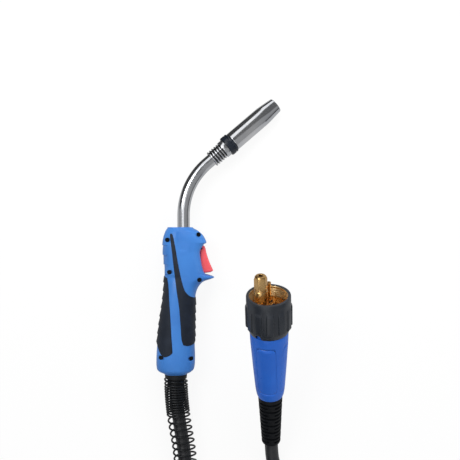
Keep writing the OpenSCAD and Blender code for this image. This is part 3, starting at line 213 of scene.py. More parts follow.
def curve_point(a, b, c, d, t):
    """Point between b and c on the smooth curve through a, b, c and d."""
    return 0.5 * (2 * b + (c - a) * t + (2 * a - 5 * b + 4 * c - d) * t ** 2
                  + (3 * b - a - 3 * c + d) * t ** 3)


def smooth_path(points, steps):
    """Smooth curve through all the points but the first and the last."""
    p = [Vector(q) for q in points]
    out = [curve_point(p[i - 1], p[i], p[i + 1], p[i + 2], k / steps)
           for i in range(1, len(p) - 2) for k in range(steps)]
    return out + [p[-2]]


def eased(amount, t):
    """An amount as t goes from 0 to 1, level at both ends."""
    return amount * t * t * (3 - 2 * t)


def cut(piece, cutters):
    """Takes the cutters away from a piece, and leaves its mesh final."""
    for cutter in cutters:
        change = piece.modifiers.new("cut", "BOOLEAN")
        change.operation = "DIFFERENCE"
        change.solver = "EXACT"
        change.object = cutter
    bpy.context.view_layer.update()
    result = bpy.data.meshes.new_from_object(piece.evaluated_get(bpy.context.evaluated_depsgraph_get()))
    piece.modifiers.clear()
    piece.data = result
    for cutter in cutters:
        bpy.data.objects.remove(cutter)


def tool(verts, faces, matrix):
    """A cutter for cut()."""
    cutter = add("tool", new_mesh("tool", [matrix @ Vector(v) for v in verts], faces))
    finish_mesh(cutter, 180)
    return cutter


# -------------------- camera

VIEW_RIGHT = 56.7
VIEW_UP = 150.1
VIEW_HEIGHT = 0.819
SENSOR = 36.0
FOCAL_PIXELS = 762.0
FRAME_PIXELS = 460.0


def make_camera():
    data = bpy.data.cameras.new("camera")
    data.sensor_width = SENSOR
    data.lens = SENSOR * FOCAL_PIXELS / FRAME_PIXELS
    data.clip_start = 0.01
    data.clip_end = 20
    camera = add("camera", data)
    camera.location = ((BASE_X + VIEW_RIGHT) * MM, (BASE_Y + VIEW_UP) * MM, VIEW_HEIGHT)
    bpy.context.scene.camera = camera


make_camera()

# -------------------- materials


def linear(*rgb):
    """Scene colour from the 0 to 255 values of a screen colour."""
    return tuple(((c / 255 + 0.055) / 1.055) ** 2.4 if c > 10 else c / 255 / 12.92 for c in rgb) + (1.0,)


class Look:
    """A procedural material: colour variation, roughness variation and bump from noise in object space."""

    def __init__(self, name, colour, rough, metal=0.0):
        self.material = bpy.data.materials.new(name)
        self.material.use_nodes = True
        self.tree = self.material.node_tree
        self.shader = self.tree.nodes["Principled BSDF"]
        self.shader.inputs["Base Color"].default_value = linear(*colour)
        self.shader.inputs["Roughness"].default_value = rough
        self.shader.inputs["Metallic"].default_value = metal
        self.where = self.tree.nodes.new("ShaderNodeTexCoord").outputs["Object"]
        self.normal = None

    def node(self, kind, **values):
        made = self.tree.nodes.new(kind)
        for key, value in values.items():
            made.inputs[key].default_value = value
        return made

    def join(self, a, b):
        self.tree.links.new(a, b)

    def stretched(self, scale, turn=(0, 0, 0)):
        mapping = self.node("ShaderNodeMapping", Scale=scale, Rotation=turn)
        self.join(self.where, mapping.inputs["Vector"])
        return mapping.outputs["Vector"]

    def noise(self, scale, detail=3.0, vector=None, rough=0.5):
        made = self.node("ShaderNodeTexNoise", Scale=scale, Detail=detail, Roughness=rough)
        self.join(vector or self.where, made.inputs["Vector"])
        return made.outputs["Fac"]

    def spread(self, fac, low, high, a=0.3, b=0.7):
        made = self.node("ShaderNodeMapRange")
        for key, value in (("From Min", a), ("From Max", b), ("To Min", low), ("To Max", high)):
            made.inputs[key].default_value = value
        self.join(fac, made.inputs["Value"])
        return made.outputs["Result"]

    def colours(self, fac, first, second, a=0.3, b=0.7):
        """Base colour between two colours as fac goes from a to b."""
        ramp = self.tree.nodes.new("ShaderNodeValToRGB")
        ramp.color_ramp.elements[0].position = a
        ramp.color_ramp.elements[0].color = linear(*first)
        ramp.color_ramp.elements[1].position = b
        ramp.color_ramp.elements[1].color = linear(*second)
        self.join(fac, ramp.inputs["Fac"])
        self.join(ramp.outputs["Color"], self.shader.inputs["Base Color"])
        return self

    def roughness(self, fac, low, high, a=0.3, b=0.7):
        self.join(self.spread(fac, low, high, a, b), self.shader.inputs["Roughness"])
        return self

    def bump(self, fac, strength, distance):
        made = self.node("ShaderNodeBump", Strength=strength, Distance=distance)
        self.join(fac, made.inputs["Height"])
        if self.normal:
            self.join(self.normal, made.inputs["Normal"])
        self.normal = made.outputs["Normal"]
        self.join(self.normal, self.shader.inputs["Normal"])
        return self

    def shine(self, level):
        self.shader.inputs["Specular IOR Level"].default_value = level
        return self


def moulded(name, light, dark, rough, grain=900.0, strength=0.12):
    """Moulded plastic: a fine mould grain, faint flow marks and handling scuffs."""
    look = Look(name, light, rough)
    flow = look.noise(35, 4)
    look.colours(flow, dark, light, 0.25, 0.7)
    look.roughness(look.noise(60, 5), rough - 0.06, rough + 0.1)
    look.bump(look.noise(grain, 2), strength, 0.00012)
    look.bump(look.noise(24, 3), 0.08, 0.0012)
    return look


def rubbery(name, light, dark, rough, grain=1500.0, strength=0.3):
    look = Look(name, light, rough)
    look.colours(look.noise(90, 5), dark, light, 0.3, 0.75)
    look.roughness(look.noise(140, 4), rough - 0.08, rough + 0.08)
    look.bump(look.noise(grain, 2), strength, 0.00015)
    return look


def metal(name, light, dark, rough, turn=(0, 0, 0), streaks=(900, 25, 900), strength=0.06):
    """Drawn or turned metal: long fine streaks one way, and a faint uneven stain."""
    look = Look(name, light, rough, 1.0)
    lines = look.noise(1, 4, look.stretched(streaks, turn))
    look.colours(look.noise(45, 4), dark, light, 0.3, 0.62)
    look.roughness(lines, rough * 0.7, rough * 1.5, 0.25, 0.75)
    look.bump(lines, strength, 0.00006)
    return look


CHROME = (234, 236, 240), (212, 215, 221)
LOOKS = {
    "shell_blue": moulded("shell_plastic", (62, 126, 202), (50, 108, 182), 0.34).shine(0.35),
    "connector_blue": moulded("housing_plastic", (38, 104, 206), (30, 92, 192), 0.32).shine(0.35),
    "grip_black": rubbery("grip_rubber", (34, 41, 53), (26, 32, 42), 0.55).shine(0.22),
    "trigger_red": moulded("trigger_plastic", (238, 94, 101), (224, 80, 87), 0.36).shine(0.4),
    "collar_grey": moulded("collar_plastic", (38, 43, 51), (30, 34, 41), 0.3, 700, 0.1).shine(0.55),
    "ring_dark": moulded("ring_plastic", (27, 34, 45), (19, 24, 33), 0.22),
    "relief_black": rubbery("relief_rubber", (18, 20, 24), (11, 13, 16), 0.48, 900, 0.2).shine(0.2),
    "cable_black": rubbery("cable_jacket", (48, 49, 52), (34, 35, 38), 0.36, 500, 0.18),
    "spring_black": rubbery("spring_coating", (19, 22, 26), (11, 13, 15), 0.32, 800, 0.1).shine(0.3),
    "inner_black": moulded("inner_plastic", (24, 26, 30), (17, 19, 22), 0.5).shine(0.3),
    "white_plastic": moulded("white_insulation", (222, 218, 206), (206, 200, 186), 0.45),
    "neck_chrome": metal("neck_metal", *CHROME, 0.14, streaks=(500, 500, 60), strength=0.025),
    "nozzle_chrome": metal("nozzle_metal", (238, 239, 242), (220, 223, 229), 0.12, (0, 0, -0.71),
                           (60, 600, 600), 0.02),
    "screw_steel": metal("black_steel", (44, 46, 50), (28, 30, 33), 0.42),
    "brass": metal("turned_brass", (242, 200, 138), (226, 176, 108), 0.26, streaks=(300, 300, 120),
                   strength=0.02),
    "copper": metal("drawn_copper", (206, 130, 90), (168, 98, 66), 0.28),
}
THREAD = metal("threaded_brass", (248, 220, 170), (234, 198, 140), 0.36, streaks=(200, 200, 200),
               strength=0.01)


def dress_cad():
    """Gives every CAD node its material, and smooth shading between its facets."""
    for part in frame["record"]["subparts"]:
        node = NODES[part["node"]]
        material = LOOKS[part["material_slot"]].material
        if not node.material_slots:
            node.data.materials.append(material)
        for place in node.material_slots:
            place.material = material
        for face in node.data.polygons:
            face.use_smooth = True
        weld = node.modifiers.new("weld", "WELD")
        weld.merge_threshold = 2e-6
        split = node.modifiers.new("sharp", "EDGE_SPLIT")
        split.split_angle = math.radians(28)
        split.use_edge_sharp = False


dress_cad()

# -------------------- cable

CABLE_D = 14.0
SEAT_OUT = 5.0
COIL_MID = (57.0, -204.0)
COIL_R = 95.5
COIL_STEP = 14.6
COIL_LOOPS = 4.5
COIL_EASE = 0.12
COIL_LOW = CABLE_D / 2 + 0.05
COIL_HIGH = COIL_LOW + COIL_STEP
COIL_RINGS = 48
CABLE_END_LEN = 95.0


def coil_turns():
    """Route of the coil: inwards on the ground, and back outwards on a second layer."""
    points = []
    for i in range(int(COIL_LOOPS * COIL_RINGS) + 1):
        t = i / COIL_RINGS
        m = min(t, COIL_LOOPS - t)
        d = COIL_LOOPS / 2 - m
        r = COIL_R - COIL_STEP * (m - (COIL_EASE * (1 - d / COIL_EASE) ** 2 / 2 if d < COIL_EASE else 0))
        s = min(1, max(0, (t - COIL_LOOPS / 2 + 0.25) / 0.5))
        a = math.pi + 2 * math.pi * t
        points.append(Vector((COIL_MID[0] + r * math.cos(a), COIL_MID[1] + r * math.sin(a),
                              COIL_LOW + eased(COIL_HIGH - COIL_LOW, s))))
    return points


def cable_route():
    """The cable's middle line, from inside the handle to inside the connector."""
    turns = coil_turns()
    lead = Vector((0, CABLE_D, 0))
    first = [
        (0, 3, AXIS_HEIGHT), (0, -SEAT_OUT - 0.05, AXIS_HEIGHT), (0.05, -16, 19.7), (0.5, -27, 18.4),
        (1.8, -40, 16.3), (4.5, -60, 14.1), (7.6, -80, 12.1), (8.7, -98, 11), (4.9, -114, 10.8),
        (-8.4, -129.6, 9.8), (-21.6, -145.4, 8.4), (-31.2, -160.6, 7.5), (-36.6, -175.4, 7.1),
        turns[0] + lead, turns[0]
    ]
    second = [
        turns[-1], turns[-1] + lead, (152.5, -170, 21.6), (151, -154, 19.6), (145, -138.5, 15.8),
        (134, -126, 11.8), (121, -116, 9.4), (109.5, -106, 8.8), (102.5, -95, 10),
        *(CONN_EXIT + run * CONN_AXIS for run in (-2, 14, 34, 62, CABLE_END_LEN, 120))
    ]
    return smooth_path(first, 6) + turns + smooth_path(second, 6)


def make_cable():
    route = cable_route()
    verts, faces = sweep(route, CABLE_D / 2, 24)
    cable = link("cable", verts, faces, BASE, "torch", "cable_black",
                 ("cable_torch_side", "cable_coil", "cable_connector_side", "cable_end"), 60)
    return cable, [BASE @ p for p in route]


cable, cable_path = make_cable()

# -------------------- stage and light

FLOOR_SIZE = 6.0
FLOOR_Z = -0.0002
FLOOR_GLOW = 0.9
WORLD_LIGHT = 0.55


def by_ray(tree, kinds, low, high):
    """The high value for rays of these kinds, and the low one for all others."""
    rays = tree.nodes.new("ShaderNodeLightPath").outputs
    share = rays[f"Is {kinds[0]} Ray"]
    for kind in kinds[1:]:
        either = tree.nodes.new("ShaderNodeMath")
        either.operation = "MAXIMUM"
        tree.links.new(share, either.inputs[0])
        tree.links.new(rays[f"Is {kind} Ray"], either.inputs[1])
        share = either.outputs[0]
    level = tree.nodes.new("ShaderNodeMapRange")
    level.inputs["To Min"].default_value = low
    level.inputs["To Max"].default_value = high
    tree.links.new(share, level.inputs["Value"])
    return level.outputs["Result"]


def glow(tree, level):
    """Even light of one brightness."""
    made = tree.nodes.new("ShaderNodeEmission")
    made.inputs["Color"].default_value = (level, level, level, 1)
    return made.outputs[0]


def make_stage():
    """A white floor that the camera sees as glowing, so that shadows stay faint."""
    white = bpy.data.materials.new("floor_white")
    white.use_nodes = True
    tree = white.node_tree
    shader = tree.nodes["Principled BSDF"]
    shader.inputs["Base Color"].default_value = (0.9, 0.9, 0.9, 1)
    shader.inputs["Roughness"].default_value = 0.9
    both = tree.nodes.new("ShaderNodeMixShader")
    tree.links.new(by_ray(tree, ("Camera",), 0, FLOOR_GLOW), both.inputs["Fac"])
    tree.links.new(shader.outputs[0], both.inputs[1])
    tree.links.new(glow(tree, 1), both.inputs[2])
    tree.links.new(both.outputs[0], tree.nodes["Material Output"].inputs["Surface"])
    half = FLOOR_SIZE / 2
    corners = [(-half, -half, 0), (half, -half, 0), (half, half, 0), (-half, half, 0)]
    floor = add("floor", new_mesh("floor", corners, [(0, 1, 2, 3)]))
    floor.data.materials.append(white)
    floor.location.z = FLOOR_Z


def make_world():
    world = bpy.data.worlds.new("studio")
    bpy.context.scene.world = world
    world.use_nodes = True
    tree = world.node_tree
    back = tree.nodes["Background"]
    back.inputs["Color"].default_value = (1, 1, 1, 1)
    strength = by_ray(tree, ("Camera", "Transmission", "Glossy"), WORLD_LIGHT, 1)
    tree.links.new(strength, back.inputs["Strength"])


def wall(low, high, start=-2.5, end=2.5):
    """Corners of an upright sheet along Y, between two points of (x, z) in metres."""
    return [(low[0], start, low[1]), (low[0], end, low[1]),
            (high[0], end, high[1]), (high[0], start, high[1])]


def reflector(name, corners, level):
    """A card of one brightness, seen in reflections alone."""
    card_look = bpy.data.materials.new(name)
    card_look.use_nodes = True
    tree = card_look.node_tree
    tree.nodes.remove(tree.nodes["Principled BSDF"])
    tree.links.new(glow(tree, level), tree.nodes["Material Output"].inputs["Surface"])
    card = add(name, new_mesh(name, corners, [tuple(range(len(corners)))]))
    card.data.materials.append(card_look)
    for kind in ("camera", "diffuse", "shadow", "transmission", "volume_scatter"):
        setattr(card, "visible_" + kind, False)


def area_light(name, place_at, aim, size, power, seen=False):
    """A square lamp, and whether reflections show it."""
    data = bpy.data.lights.new(name, "AREA")
    data.shape = "RECTANGLE"
    data.size = size
    data.size_y = size
    data.energy = power
    lamp = add(name, data)
    lamp.location = place_at
    lamp.rotation_mode = "QUATERNION"
    lamp.rotation_quaternion = (Vector(aim) - Vector(place_at)).to_track_quat("-Z", "Y")
    lamp.visible_glossy = seen


bpy.context.scene.view_settings.view_transform = "Standard"
make_stage()
make_world()
# Cards that lie past MIDWAY show in the neck's bend and the nozzle, and the others in the straight neck.
MIDWAY = 0.2
reflector("low_left", wall((-0.9, 0), (-0.42, 1.0), -0.4, MIDWAY), 0.3)
reflector("low_corner", wall((-0.9, 0), (-0.6, 0.7), -2.5, -0.4), 0.04)
reflector("low_over", wall((0.13, 1.0), (1.9, 0.9), -2.5, MIDWAY), 0.3)
reflector("high_left", wall((-0.9, 0), (-0.86, 0.74), MIDWAY, 2.5), 0.05)
reflector("high_over", wall((-0.18, 1.0), (1.9, 0.9), MIDWAY, 2.5), 0.13)
reflector("right", wall((1.9, 0.9), (2.0, 0.4)), 0.2)
reflector("horizon", wall((2.0, 0.4), (2.0, 0)), 0.02)
reflector("near_left", [(-2, -1.2, 0), (0.15, -1.2, 0), (0.15, -1.2, 0.7), (-2, -1.2, 0.7)], 0.04)
reflector("near_right", [(0.15, -1.2, 0), (2, -1.2, 0), (2, -1.2, 0.7), (0.15, -1.2, 0.7)], 0.45)
reflector("table", [(-2.5, -2.5, 0.0005), (2.5, -2.5, 0.0005), (2.5, 2.5, 0.0005), (-2.5, 2.5, 0.0005)], 0.48)
reflector("far_table", [(-2.5, 0.12, 0.001), (-0.055, 0.12, 0.001), (0.09, 0.262, 0.001), (0.09, 2.5, 0.001),
                        (-2.5, 2.5, 0.001)], 0.06)
area_light("key", (-0.6, 0.45, 1.1), (0, 0.02, 0), 0.5, 5.2, True)
area_light("fill", (0.9, 0.3, 0.7), (0, 0, 0), 0.7, 3.6)
area_light("top", (0.02, 0.5, 0.4), (0, 0.05, 0), 0.35, 2.0)

# -------------------- handle

HANDLE_LEN = 153.0
SHELL_WALL = 2.8
SECTION_POWER = 2.5
SCALLOP_TOP = 134.0
SCALLOPS = 3
SCALLOP_PITCH = 10.0
SCALLOP_DEPTH = 0.9
DIMPLE_AT = (4.2, 139.3)
DIMPLE_HALF = (4.6, 11.6)
DIMPLE_DEPTH = 0.9
HOLLOW_FRONT = 27.5
PAD_PROUD = 0.4
PAD_THICK = 1.2
RIDGE_DEPTH = 1.0
SLOT_LOW = 103.9
SLOT_HIGH = 136.0
SLOT_HALF = 7.2
SLOT_BACK, SLOT_FRONT, SLOT_ROUND = 12.6, 60, 1.4
CABLE_HOLE_R = 10.3
NECK_HOLE_R = 6.6
SEAM_GROOVE = 0.22
WELL_R, WELL_FLARE = 2.4, 1.0

BACK = [
    (0, -12.4), (2.8, -17.7), (5.1, -19.8), (15, -20.4), (34, -19.2), (54, -16.9), (81, -13.1),
    (102.5, -11.9), (116.7, -13.2), (130, -14.4), (140, -13.7), (148.6, -11.2), (153, -8.8)
]
FRONT = [
    (0, 11.8), (2.2, 15.8), (5.1, 18.8), (15, 20), (35, 19.6), (80, 20.4), (87, 21.8), (92.5, 24.9),
    (96.8, 29.7), (99.2, 37), (101, 40), (103, 34.6), (104, 30.9), (110.7, 27.6), (121.5, 25.5),
    (128, 25.2), (135.3, 29.1), (136.6, 31.5), (139, 31.2), (145, 27.9), (149.8, 22.5), (153, 17.5)
]
THICK = [
    (0, 13.5), (2.2, 16.5), (5.1, 18.2), (15, 19), (60, 18.6), (84, 18.4), (100, 17.6), (125, 17.4),
    (140, 16.8), (148, 15), (153, 12)
]
FRONT_POWER = [(0, 2.5), (92, 2.5), (104, 4.0), (138, 4.0), (149, 2.9), (153, 2.5)]


def outline(knots, y):
    """Value at y of a smooth line through knots of (y, value), level at both ends."""
    k = np.asarray(knots, float)
    slope = np.zeros(len(k))
    slope[1:-1] = (k[2:, 1] - k[:-2, 1]) / (k[2:, 0] - k[:-2, 0])
    y = np.asarray(y, float)
    i = np.clip(np.searchsorted(k[:, 0], y, side="right") - 1, 0, len(k) - 2)
    h = k[i + 1, 0] - k[i, 0]
    t = np.clip((y - k[i, 0]) / h, 0, 1)
    return ((2 * t ** 3 - 3 * t ** 2 + 1) * k[i, 1] + (t ** 3 - 2 * t ** 2 + t) * slope[i] * h
            + (3 * t ** 2 - 2 * t ** 3) * k[i + 1, 1] + (t ** 3 - t ** 2) * slope[i + 1] * h)


def spow(v, p):
    """Power of the size of v, with its sign kept."""
    return np.sign(v) * np.abs(v) ** p


def scallop(y, c):
    """Depth of the stepped scallops, which run out towards the handle's flat side."""
    d = SCALLOP_TOP - np.asarray(y, float)
    step = d / SCALLOP_PITCH
    depth = np.where((d < 0) | (d > SCALLOPS * SCALLOP_PITCH), 0, SCALLOP_DEPTH * (1 - step + np.floor(step)))
    t = np.clip((-c - 0.55) / 0.42, 0, 1)
    return eased(depth, t)


def middle_and_half(y):
    """Middle and half of the handle's depth at height y."""
    front, back = outline(FRONT, y), outline(BACK, y)
    return (front + back) / 2, (front - back) / 2


def power_at(y, c):
    """How square the section is at height y: 2 is an ellipse. c is positive towards the front."""
    return np.where(c > 0, outline(FRONT_POWER, y), SECTION_POWER)


def dimple(y, c):
    """Depth of the shallow oval that lies bare below the upper screws."""
    mid, half = middle_and_half(y)
    x = mid + half * spow(c, 2 / power_at(y, c))
    d = np.hypot((x - DIMPLE_AT[0]) / DIMPLE_HALF[0], (y - DIMPLE_AT[1]) / DIMPLE_HALF[1])
    t = np.clip((1.05 - d) / 0.22, 0, 1)
    return eased(DIMPLE_DEPTH, t)


def skin_point(y, u, off):
    """Point of the handle's skin at height y and angle u in degrees, 0 at the front seam."""
    c, s = np.cos(np.radians(u)), np.sin(np.radians(u))
    n = power_at(y, c)
    mid, half = middle_and_half(y)
    return np.stack([mid + (half + off) * spow(c, 2 / n) + scallop(y, c), y + 0 * c,
                     (outline(THICK, y) + off - dimple(y, c)) * spow(s, 2 / n)], -1)


def inner_point(y, u, off):
    """Point of the hollow's wall, which leaves the trigger guard solid."""
    c, s = np.cos(np.radians(u)), np.sin(np.radians(u))
    n = power_at(y, c)
    front = np.minimum(outline(FRONT, y), HOLLOW_FRONT)
    mid = (front + outline(BACK, y)) / 2
    return np.stack([mid + (front - mid + off) * spow(c, 2 / n), y + 0 * c,
                     (outline(THICK, y) + off) * spow(s, 2 / n)], -1)


def relative(y, x):
    """x as a share of the half depth at height y, kept just inside the skin."""
    mid, half = middle_and_half(y)
    return np.clip((x - mid) / half, -0.995, 0.995)


def angle_at(y, x):
    """Angle u of the skin point that lies at x."""
    c = relative(y, x)
    return np.degrees(np.arccos(spow(c, power_at(y, c) / 2)))


def skin_z(x, y):
    """Height of the skin above the seam plane."""
    c = relative(y, x)
    n = power_at(y, c)
    return float(outline(THICK, y) * (1 - np.abs(c) ** n) ** (1 / n))


SCREWS = [(-9.3, 139.8), (-7.2, 106.5), (23, 145.4), (23.6, 98.6), (-15.8, 18.6), (15.2, 17.2)]
HEAD_DEPTH = 4.0


def shell_grids():
    """Outer and inner grid of the upper half shell, with a fine groove along the seam."""
    rows = np.unique(np.concatenate([
        np.arange(0, 8, 0.5), np.arange(8, 92, 1.5), np.arange(92, 110, 0.5), np.arange(110, 134.5, 1.0),
        np.arange(134.5, 139, 0.4), np.arange(139, 153.2, 0.7), [153],
        [SCALLOP_TOP - SCALLOP_PITCH * k + e for k in range(SCALLOPS + 1) for e in (-0.9, -0.35, 0.35)]
    ]))
    angles = np.concatenate([[0, 0.6], np.arange(3, 178, 3.5), [179.4, 180]])
    groove = np.where((angles < 0.3) | (angles > 179.7), -SEAM_GROOVE, 0.0)
    y, u = np.meshgrid(rows, angles, indexing="ij")
    outer = skin_point(y, u, groove[None, :] + 0 * y)
    inner_y = SHELL_WALL + y * (HANDLE_LEN - 2 * SHELL_WALL) / HANDLE_LEN
    inner = inner_point(inner_y, u, -SHELL_WALL)

    def hole(x, height, r):
        a = np.radians(angles)
        return np.stack([x + r * np.cos(a), height + 0 * a, r * np.sin(a)], -1)

    outer = np.concatenate([[hole(0, 0, CABLE_HOLE_R)], outer, [hole(NECK_X, HANDLE_LEN, NECK_HOLE_R)]])
    inner = np.concatenate([[hole(0, SHELL_WALL, CABLE_HOLE_R)], inner,
                            [hole(NECK_X, HANDLE_LEN - SHELL_WALL, NECK_HOLE_R)]])
    return outer, inner


def box_mesh(lo, hi, bevel=0.0):
    """Box as a rounded outline in Y and Z, run along X."""
    ys, zs = (lo[1], hi[1]), (lo[2], hi[2])
    ring = rounded([(ys[0], zs[0]), (ys[1], zs[0]), (ys[1], zs[1]), (ys[0], zs[1])], bevel, 4)
    verts = [(x, y, z) for x in (lo[0], hi[0]) for y, z in ring]
    return verts, tube_faces(2, len(ring))


def make_shells():
    outer, inner = shell_grids()
    for name, flip in (("right_shell", 1), ("left_shell", -1)):
        side = np.array([1, 1, flip])
        verts, faces = grid_solid(outer * side, inner * side)
        shell = link("shell_" + name.split("_")[0], verts, faces, TORCH, "torch", "shell_blue",
                     (name,), 40)
        slot = box_mesh((SLOT_BACK, SLOT_LOW, -SLOT_HALF), (SLOT_FRONT, SLOT_HIGH, SLOT_HALF), SLOT_ROUND)
        cutters = [tool(*slot, TORCH)]
        if flip == 1:
            for x, y in SCREWS:
                top = skin_z(x, y)
                wide = WELL_R + WELL_FLARE
                well = lathe([(0, top - HEAD_DEPTH), (WELL_R, top - HEAD_DEPTH), (WELL_R, top + 0.2),
                              (wide, top + 1.6), (wide, top + 6), (0, top + 6)], 32)
                cutters.append(tool(*well, TORCH @ Matrix.Translation((x, y, 0))))
        cut(shell, cutters)


make_shells()

# -------------------- grip pads

REAR_LOW, REAR_HIGH, REAR_NOTCH, REAR_PITCH, REAR_DROP = 32.0, 102.3, 95.7, 8.9, 13.0
PAD_SINK = 0.35
REAR_EDGE = [(14, -5.5), (24, -4), (40, -5), (59, -6.1), (78, -7.35), (94.4, -8.3), (103, -9.6)]
FRONT_LOW, FRONT_SEAM_END, FRONT_HIGH, FRONT_PITCH, FRONT_DROP = 35.0, 79.9, 146.4, 8.0, 5.0
FRONT_LEFT = [
    (26, 8.4), (31.4, 6.7), (37.8, 4.8), (48.8, 4), (64.6, 2.7), (88.7, -0.1), (106.6, -2.2), (124.4, -4.3),
    (144, -6.4), (148, -6.2)
]
FRONT_RIGHT = [
    (79.9, 19), (81.1, 15.2), (84.7, 10.4), (89.8, 7.5), (100.3, 4.7), (112.9, 2), (130.7, -1.05),
    (144, -3.6), (148, -5)
]


def saw(y, first, pitch):
    """Height of the ridges, which step at first and at each pitch below it."""
    d = (first - y) / pitch
    return RIDGE_DEPTH * (d - np.floor(d))


def pad_rows(low, high, notch, pitch):
    """Heights of a pad's rows, close together at the ridges' steps."""
    rows = list(np.arange(low, high, 1.1)) + [high]
    k = notch
    while k > low:
        rows += [k - 0.25, k + 0.25, k - 0.8]
        k -= pitch
    return np.array(sorted(r for r in set(rows) if low <= r <= high))


def rear_point(y, s, off):
    """Point of the rear pad at row y, with s from 0 at the seam to 1 at its edge on the side."""
    v = (y - REAR_LOW) / (REAR_HIGH - REAR_LOW)
    t = np.clip(s / 0.75, 0, 1)
    low = eased(-REAR_DROP, t) + 5 * s ** 8
    h = y + low * (1 - v) ** 1.5 - 1.6 * s * v
    side = angle_at(h, outline(REAR_EDGE, h))
    return skin_point(h, 180 + (side - 180) * s, off)


def front_point(y, s, off):
    """The same for the front pad, which leaves the seam above FRONT_SEAM_END."""
    fade = np.clip((FRONT_SEAM_END - y) / (FRONT_SEAM_END - FRONT_LOW), 0, 1)
    h = y - FRONT_DROP * (1 - (1 - s) ** 2) * fade + 2 * s ** 8 * fade
    left = angle_at(h, outline(FRONT_LEFT, h))
    right = np.where(y <= FRONT_SEAM_END, 0, angle_at(h, outline(FRONT_RIGHT, h)))
    return skin_point(h, right + (left - right) * s, off)


def pad_grids(point, rows, ridge, sign):
    """Grids of a pad whose top edge is rounded over and whose seam edge carries the ridges."""
    steps = np.concatenate([[0, 0.012, 0.035], np.linspace(0.08, 0.93, 20), [0.965, 0.988, 1]])
    fringe = np.array([0, 0.012, 0.03])
    rise_s = np.interp(1 - steps, fringe, [-PAD_SINK, 0.22, PAD_PROUD])
    rows_full = np.concatenate([[rows[0], rows[0] + 0.25], rows[1:-1], [rows[-1] - 0.25, rows[-1]]])
    rise_y = np.full(len(rows_full), PAD_PROUD)
    rise_y[[0, -1]] = -PAD_SINK
    rise_y[[1, -2]] = 0.3
    y, s = np.meshgrid(rows_full, steps, indexing="ij")
    rise = np.minimum(rise_y[:, None], rise_s[None, :])
    outer = point(y, s, rise)
    shift = ridge(y) * (1 - s) ** 2 * (rise > 0)
    outer[..., 0] += sign * shift
    inner = point(y, s, -PAD_THICK + 0 * rise)
    return outer, inner


def make_pads():
    rear_rows = pad_rows(REAR_LOW, REAR_HIGH, REAR_NOTCH, REAR_PITCH)
    front_rows = np.unique(np.concatenate([
        pad_rows(FRONT_LOW, FRONT_SEAM_END, FRONT_SEAM_END, FRONT_PITCH),
        [80.4, 81.1, 82, 82.8, 83.7, 84.7], np.arange(86, 146, 1.5), [FRONT_HIGH]]))
    kinds = {
        "rear": (rear_point, rear_rows, lambda y: saw(y, REAR_NOTCH, REAR_PITCH), -1),
        "front": (front_point, front_rows,
                  lambda y: np.where(y < FRONT_SEAM_END, saw(y, FRONT_SEAM_END, FRONT_PITCH), 0), 1),
    }
    for kind, (point, rows, ridge, sign) in kinds.items():
        outer, inner = pad_grids(point, rows, ridge, sign)
        for side, flip in (("right", 1), ("left", -1)):
            turn = np.array([1, 1, flip])
            verts, faces = grid_solid(outer * turn, inner * turn)
            link(f"{kind}_pad_{side}", verts, faces, TORCH, "torch", "grip_black",
                 (f"{kind}_grip_{side}",), 45)


make_pads()

# -------------------- trigger

TRIGGER_LOW, TRIGGER_HIGH, TRIGGER_BACK, TRIGGER_HALF = 104.8, 134.8, 24.4, 6.9
TRIGGER_POWER, TRIGGER_EDGE, TRIGGER_SAG, TRIGGER_SIDES = 0.42, 0.9, 0.12, 72
PIN_BORE_R = 1.55
TRIGGER_FRONT = [
    (104.8, 37.4), (106, 38.8), (107.8, 38.4), (115.5, 35.4), (125.1, 32.1), (132.8, 30.2), (134.8, 28.2)
]


def make_trigger():
    rows = np.concatenate([TRIGGER_LOW + np.array([0, 0.15, 0.4, 0.8, 1.3, 2, 3]), np.arange(109, 133, 1.5),
                           TRIGGER_HIGH - np.array([1.6, 1.1, 0.6, 0.25, 0])])
    rings = []
    for y in rows:
        x1 = float(outline(TRIGGER_FRONT, y))
        rx = (x1 - TRIGGER_BACK) / 2
        low = min(1, (y - TRIGGER_LOW) / 1.3)
        top = min(1, (TRIGGER_HIGH - y) / 1.6)
        edge = TRIGGER_EDGE * ((1 - low) ** 2 + (1 - top) ** 2)
        sag = TRIGGER_SAG * max(0, min(1, (118 - y) / 12))
        a = 2 * np.pi * (np.arange(TRIGGER_SIDES) + 0.5) / TRIGGER_SIDES
        along = spow(np.cos(a), TRIGGER_POWER)
        rings.append(np.stack([(TRIGGER_BACK + x1) / 2 + (rx - edge * 0.5) * along,
                               y + sag * rx * (1 + along) - 2 * sag,
                               (TRIGGER_HALF - edge) * spow(np.sin(a), TRIGGER_POWER)], -1))
    nub = box_mesh((23.9, 112.5, -2), (26, 114.5, 2), 0.3)
    trigger = link("trigger_lever", np.concatenate(rings), tube_faces(len(rings), TRIGGER_SIDES), TORCH,
                   "trigger", "trigger_red", ("trigger",), 50)
    bore = lathe([(0, -12), (PIN_BORE_R, -12), (PIN_BORE_R, 12), (0, 12)], 32)
    cut(trigger, [tool(*bore, TORCH @ Matrix.Translation((*PIVOT, 0)))])
    link("trigger_nub", *nub, TORCH, "trigger", "trigger_red")


make_trigger()

# -------------------- neck and head


